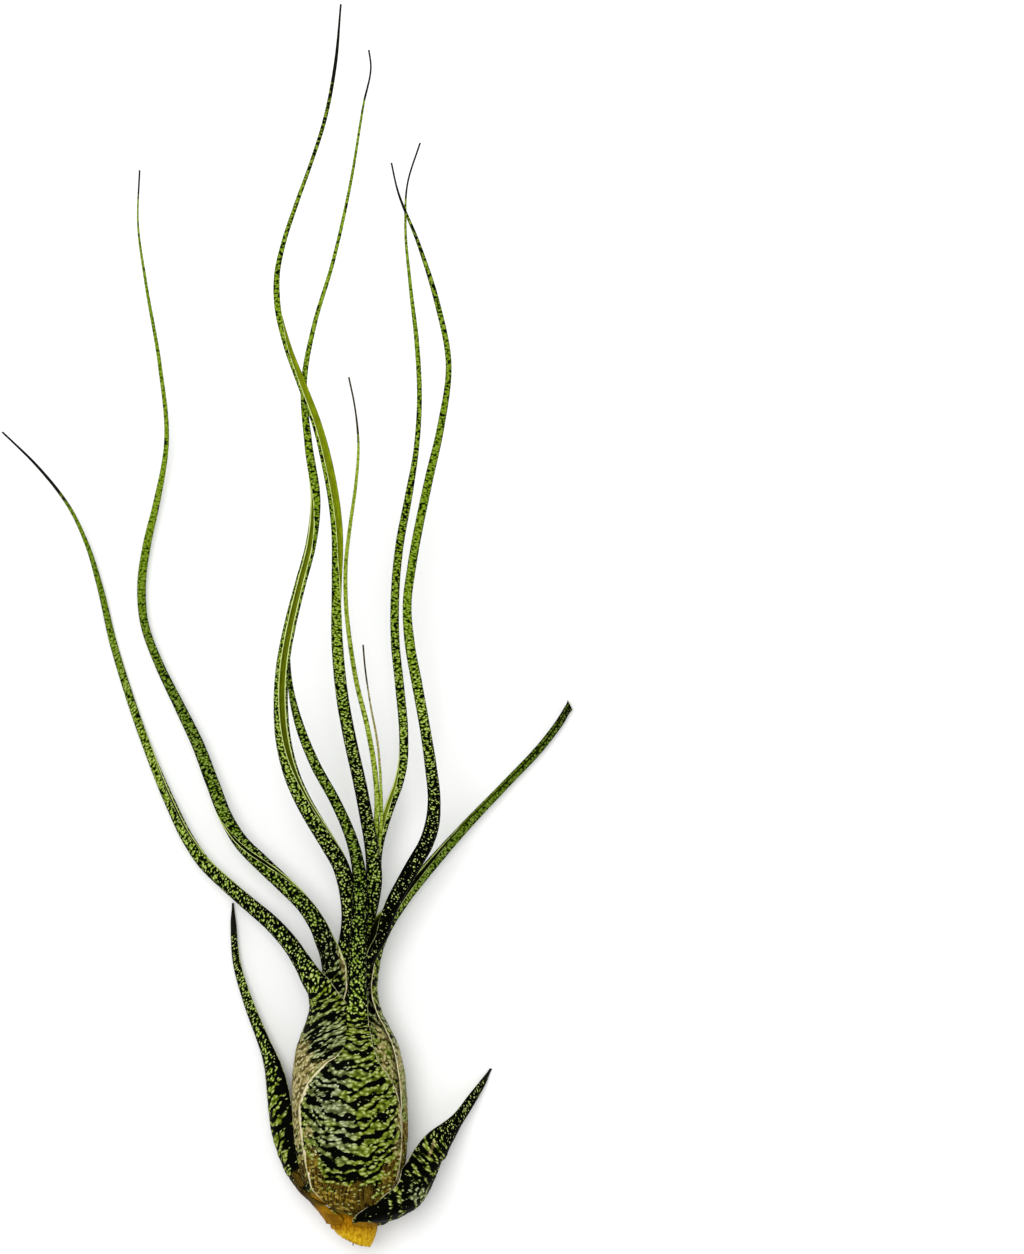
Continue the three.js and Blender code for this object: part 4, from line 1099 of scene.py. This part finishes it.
LEAF_COLOURS = {
    "dark": paint(3, 4, 1),
    "blade_deep": paint(54, 80, 5), "blade": paint(122, 148, 20), "blade_pale": paint(206, 220, 138),
    "sheath_deep": paint(56, 70, 10), "sheath": paint(114, 128, 34), "sheath_pale": paint(198, 206, 142),
    "grey_deep": paint(66, 74, 38), "grey": paint(124, 132, 88), "grey_pale": paint(206, 212, 178),
    # groove_painted_light is the painted light of a groove whose groove shade is below 0
    "groove_deep": paint(104, 116, 8), "groove": paint(138, 154, 18), "groove_painted_light": paint(186, 194, 78),
    "paper_dark": paint(80, 72, 34), "paper_deep": paint(122, 114, 60), "paper": paint(172, 166, 114),
    "paper_warm": paint(152, 130, 86), "cream": paint(216, 206, 166),
    "gold_dark": paint(26, 16, 3), "gold_deep": paint(38, 24, 4), "gold": paint(132, 108, 30),
    "gold_pale": paint(182, 168, 98),
    "amber_deep": paint(112, 76, 8), "amber": paint(146, 106, 12),
    "dry": paint(22, 20, 14),
}
YOUNG_COLOURS = {
    **LEAF_COLOURS,
    "dark": paint(66, 84, 12), "blade_deep": paint(112, 134, 26), "blade": paint(150, 170, 48),
    "dry": paint(56, 48, 28),
}
mottling = mottling_group()
leaf_skin = skin_material("leaf_skin", mottling, LEAF_COLOURS)
young_leaf_skin = skin_material("young_leaf_skin", mottling, YOUNG_COLOURS)
for number, leaf in enumerate(LEAVES, 1):
    young = leaf["name"].startswith("leaf_young")
    points, faces, marks = leaf_mesh(leaf, number)
    piece = make_piece(leaf["name"], points, faces, marks)
    piece.data.materials.append(young_leaf_skin if young else leaf_skin)


# Surface, light and camera
# A plain pale surface under the plant, a wide soft light above it and a pale surround. The camera looks
# straight down, with the leaf tips away from the viewer at the top of the picture.

FLOOR_SIZE = 6.0
FLOOR_DROP = 0.00003
FLOOR_COLOUR = (0.96, 0.96, 0.955, 1)
SURROUND_COLOUR = (0.99, 0.995, 1.0, 1)
SURROUND_STRENGTH = 0.74
LAMP_SIZE = 0.7
LAMP_POWER = 7.6
LAMP_PLACE = (-0.15, 0.2, 1.15)
# The camera's picture: its middle, its length in pixels, the width of a pixel and the height where it is so
PICTURE_MIDDLE = (0.03234, 0.09643)
PICTURE_PIXELS = 1254
PIXEL = 0.19965 * MM
PIXEL_HEIGHT = 0.010
CAMERA_HEIGHT = 1.5
SENSOR_MILLIMETRES = 36

floor_mesh = bpy.data.meshes.new("floor")
half_floor = FLOOR_SIZE / 2
corners = [(x * half_floor, y * half_floor, -FLOOR_DROP) for x, y in ((-1, -1), (1, -1), (1, 1), (-1, 1))]
floor_mesh.from_pydata(corners, [], [(0, 1, 2, 3)])
floor = bpy.data.objects.new("floor", floor_mesh)
bpy.context.scene.collection.objects.link(floor)
floor_paint, floor_shader = material("floor_paint", roughness=0.8, specular=0.2)
floor_shader.inputs["Base Color"].default_value = FLOOR_COLOUR
floor_mesh.materials.append(floor_paint)

world = bpy.data.worlds.new("surround")
world.use_nodes = True
background = world.node_tree.nodes["Background"]
background.inputs["Color"].default_value = SURROUND_COLOUR
background.inputs["Strength"].default_value = SURROUND_STRENGTH
bpy.context.scene.world = world

lamp = bpy.data.lights.new("soft_box", "AREA")
lamp.shape = "DISK"
lamp.size = LAMP_SIZE
lamp.energy = LAMP_POWER
soft_box = bpy.data.objects.new("soft_box", lamp)
soft_box.location = LAMP_PLACE
bpy.context.scene.collection.objects.link(soft_box)
aim = soft_box.constraints.new("TRACK_TO")
aim.track_axis = "TRACK_NEGATIVE_Z"
aim.up_axis = "UP_Y"
aim.target = floor

camera_data = bpy.data.cameras.new("camera")
camera_data.sensor_width = SENSOR_MILLIMETRES
camera_data.lens = SENSOR_MILLIMETRES * (CAMERA_HEIGHT - PIXEL_HEIGHT) / (PICTURE_PIXELS * PIXEL)
camera_data.clip_start = 0.1
camera_data.clip_end = 20
camera = bpy.data.objects.new("camera", camera_data)
camera.location = (*PICTURE_MIDDLE, CAMERA_HEIGHT)
bpy.context.scene.collection.objects.link(camera)
bpy.context.scene.camera = camera
bpy.context.scene.view_settings.view_transform = "Standard"
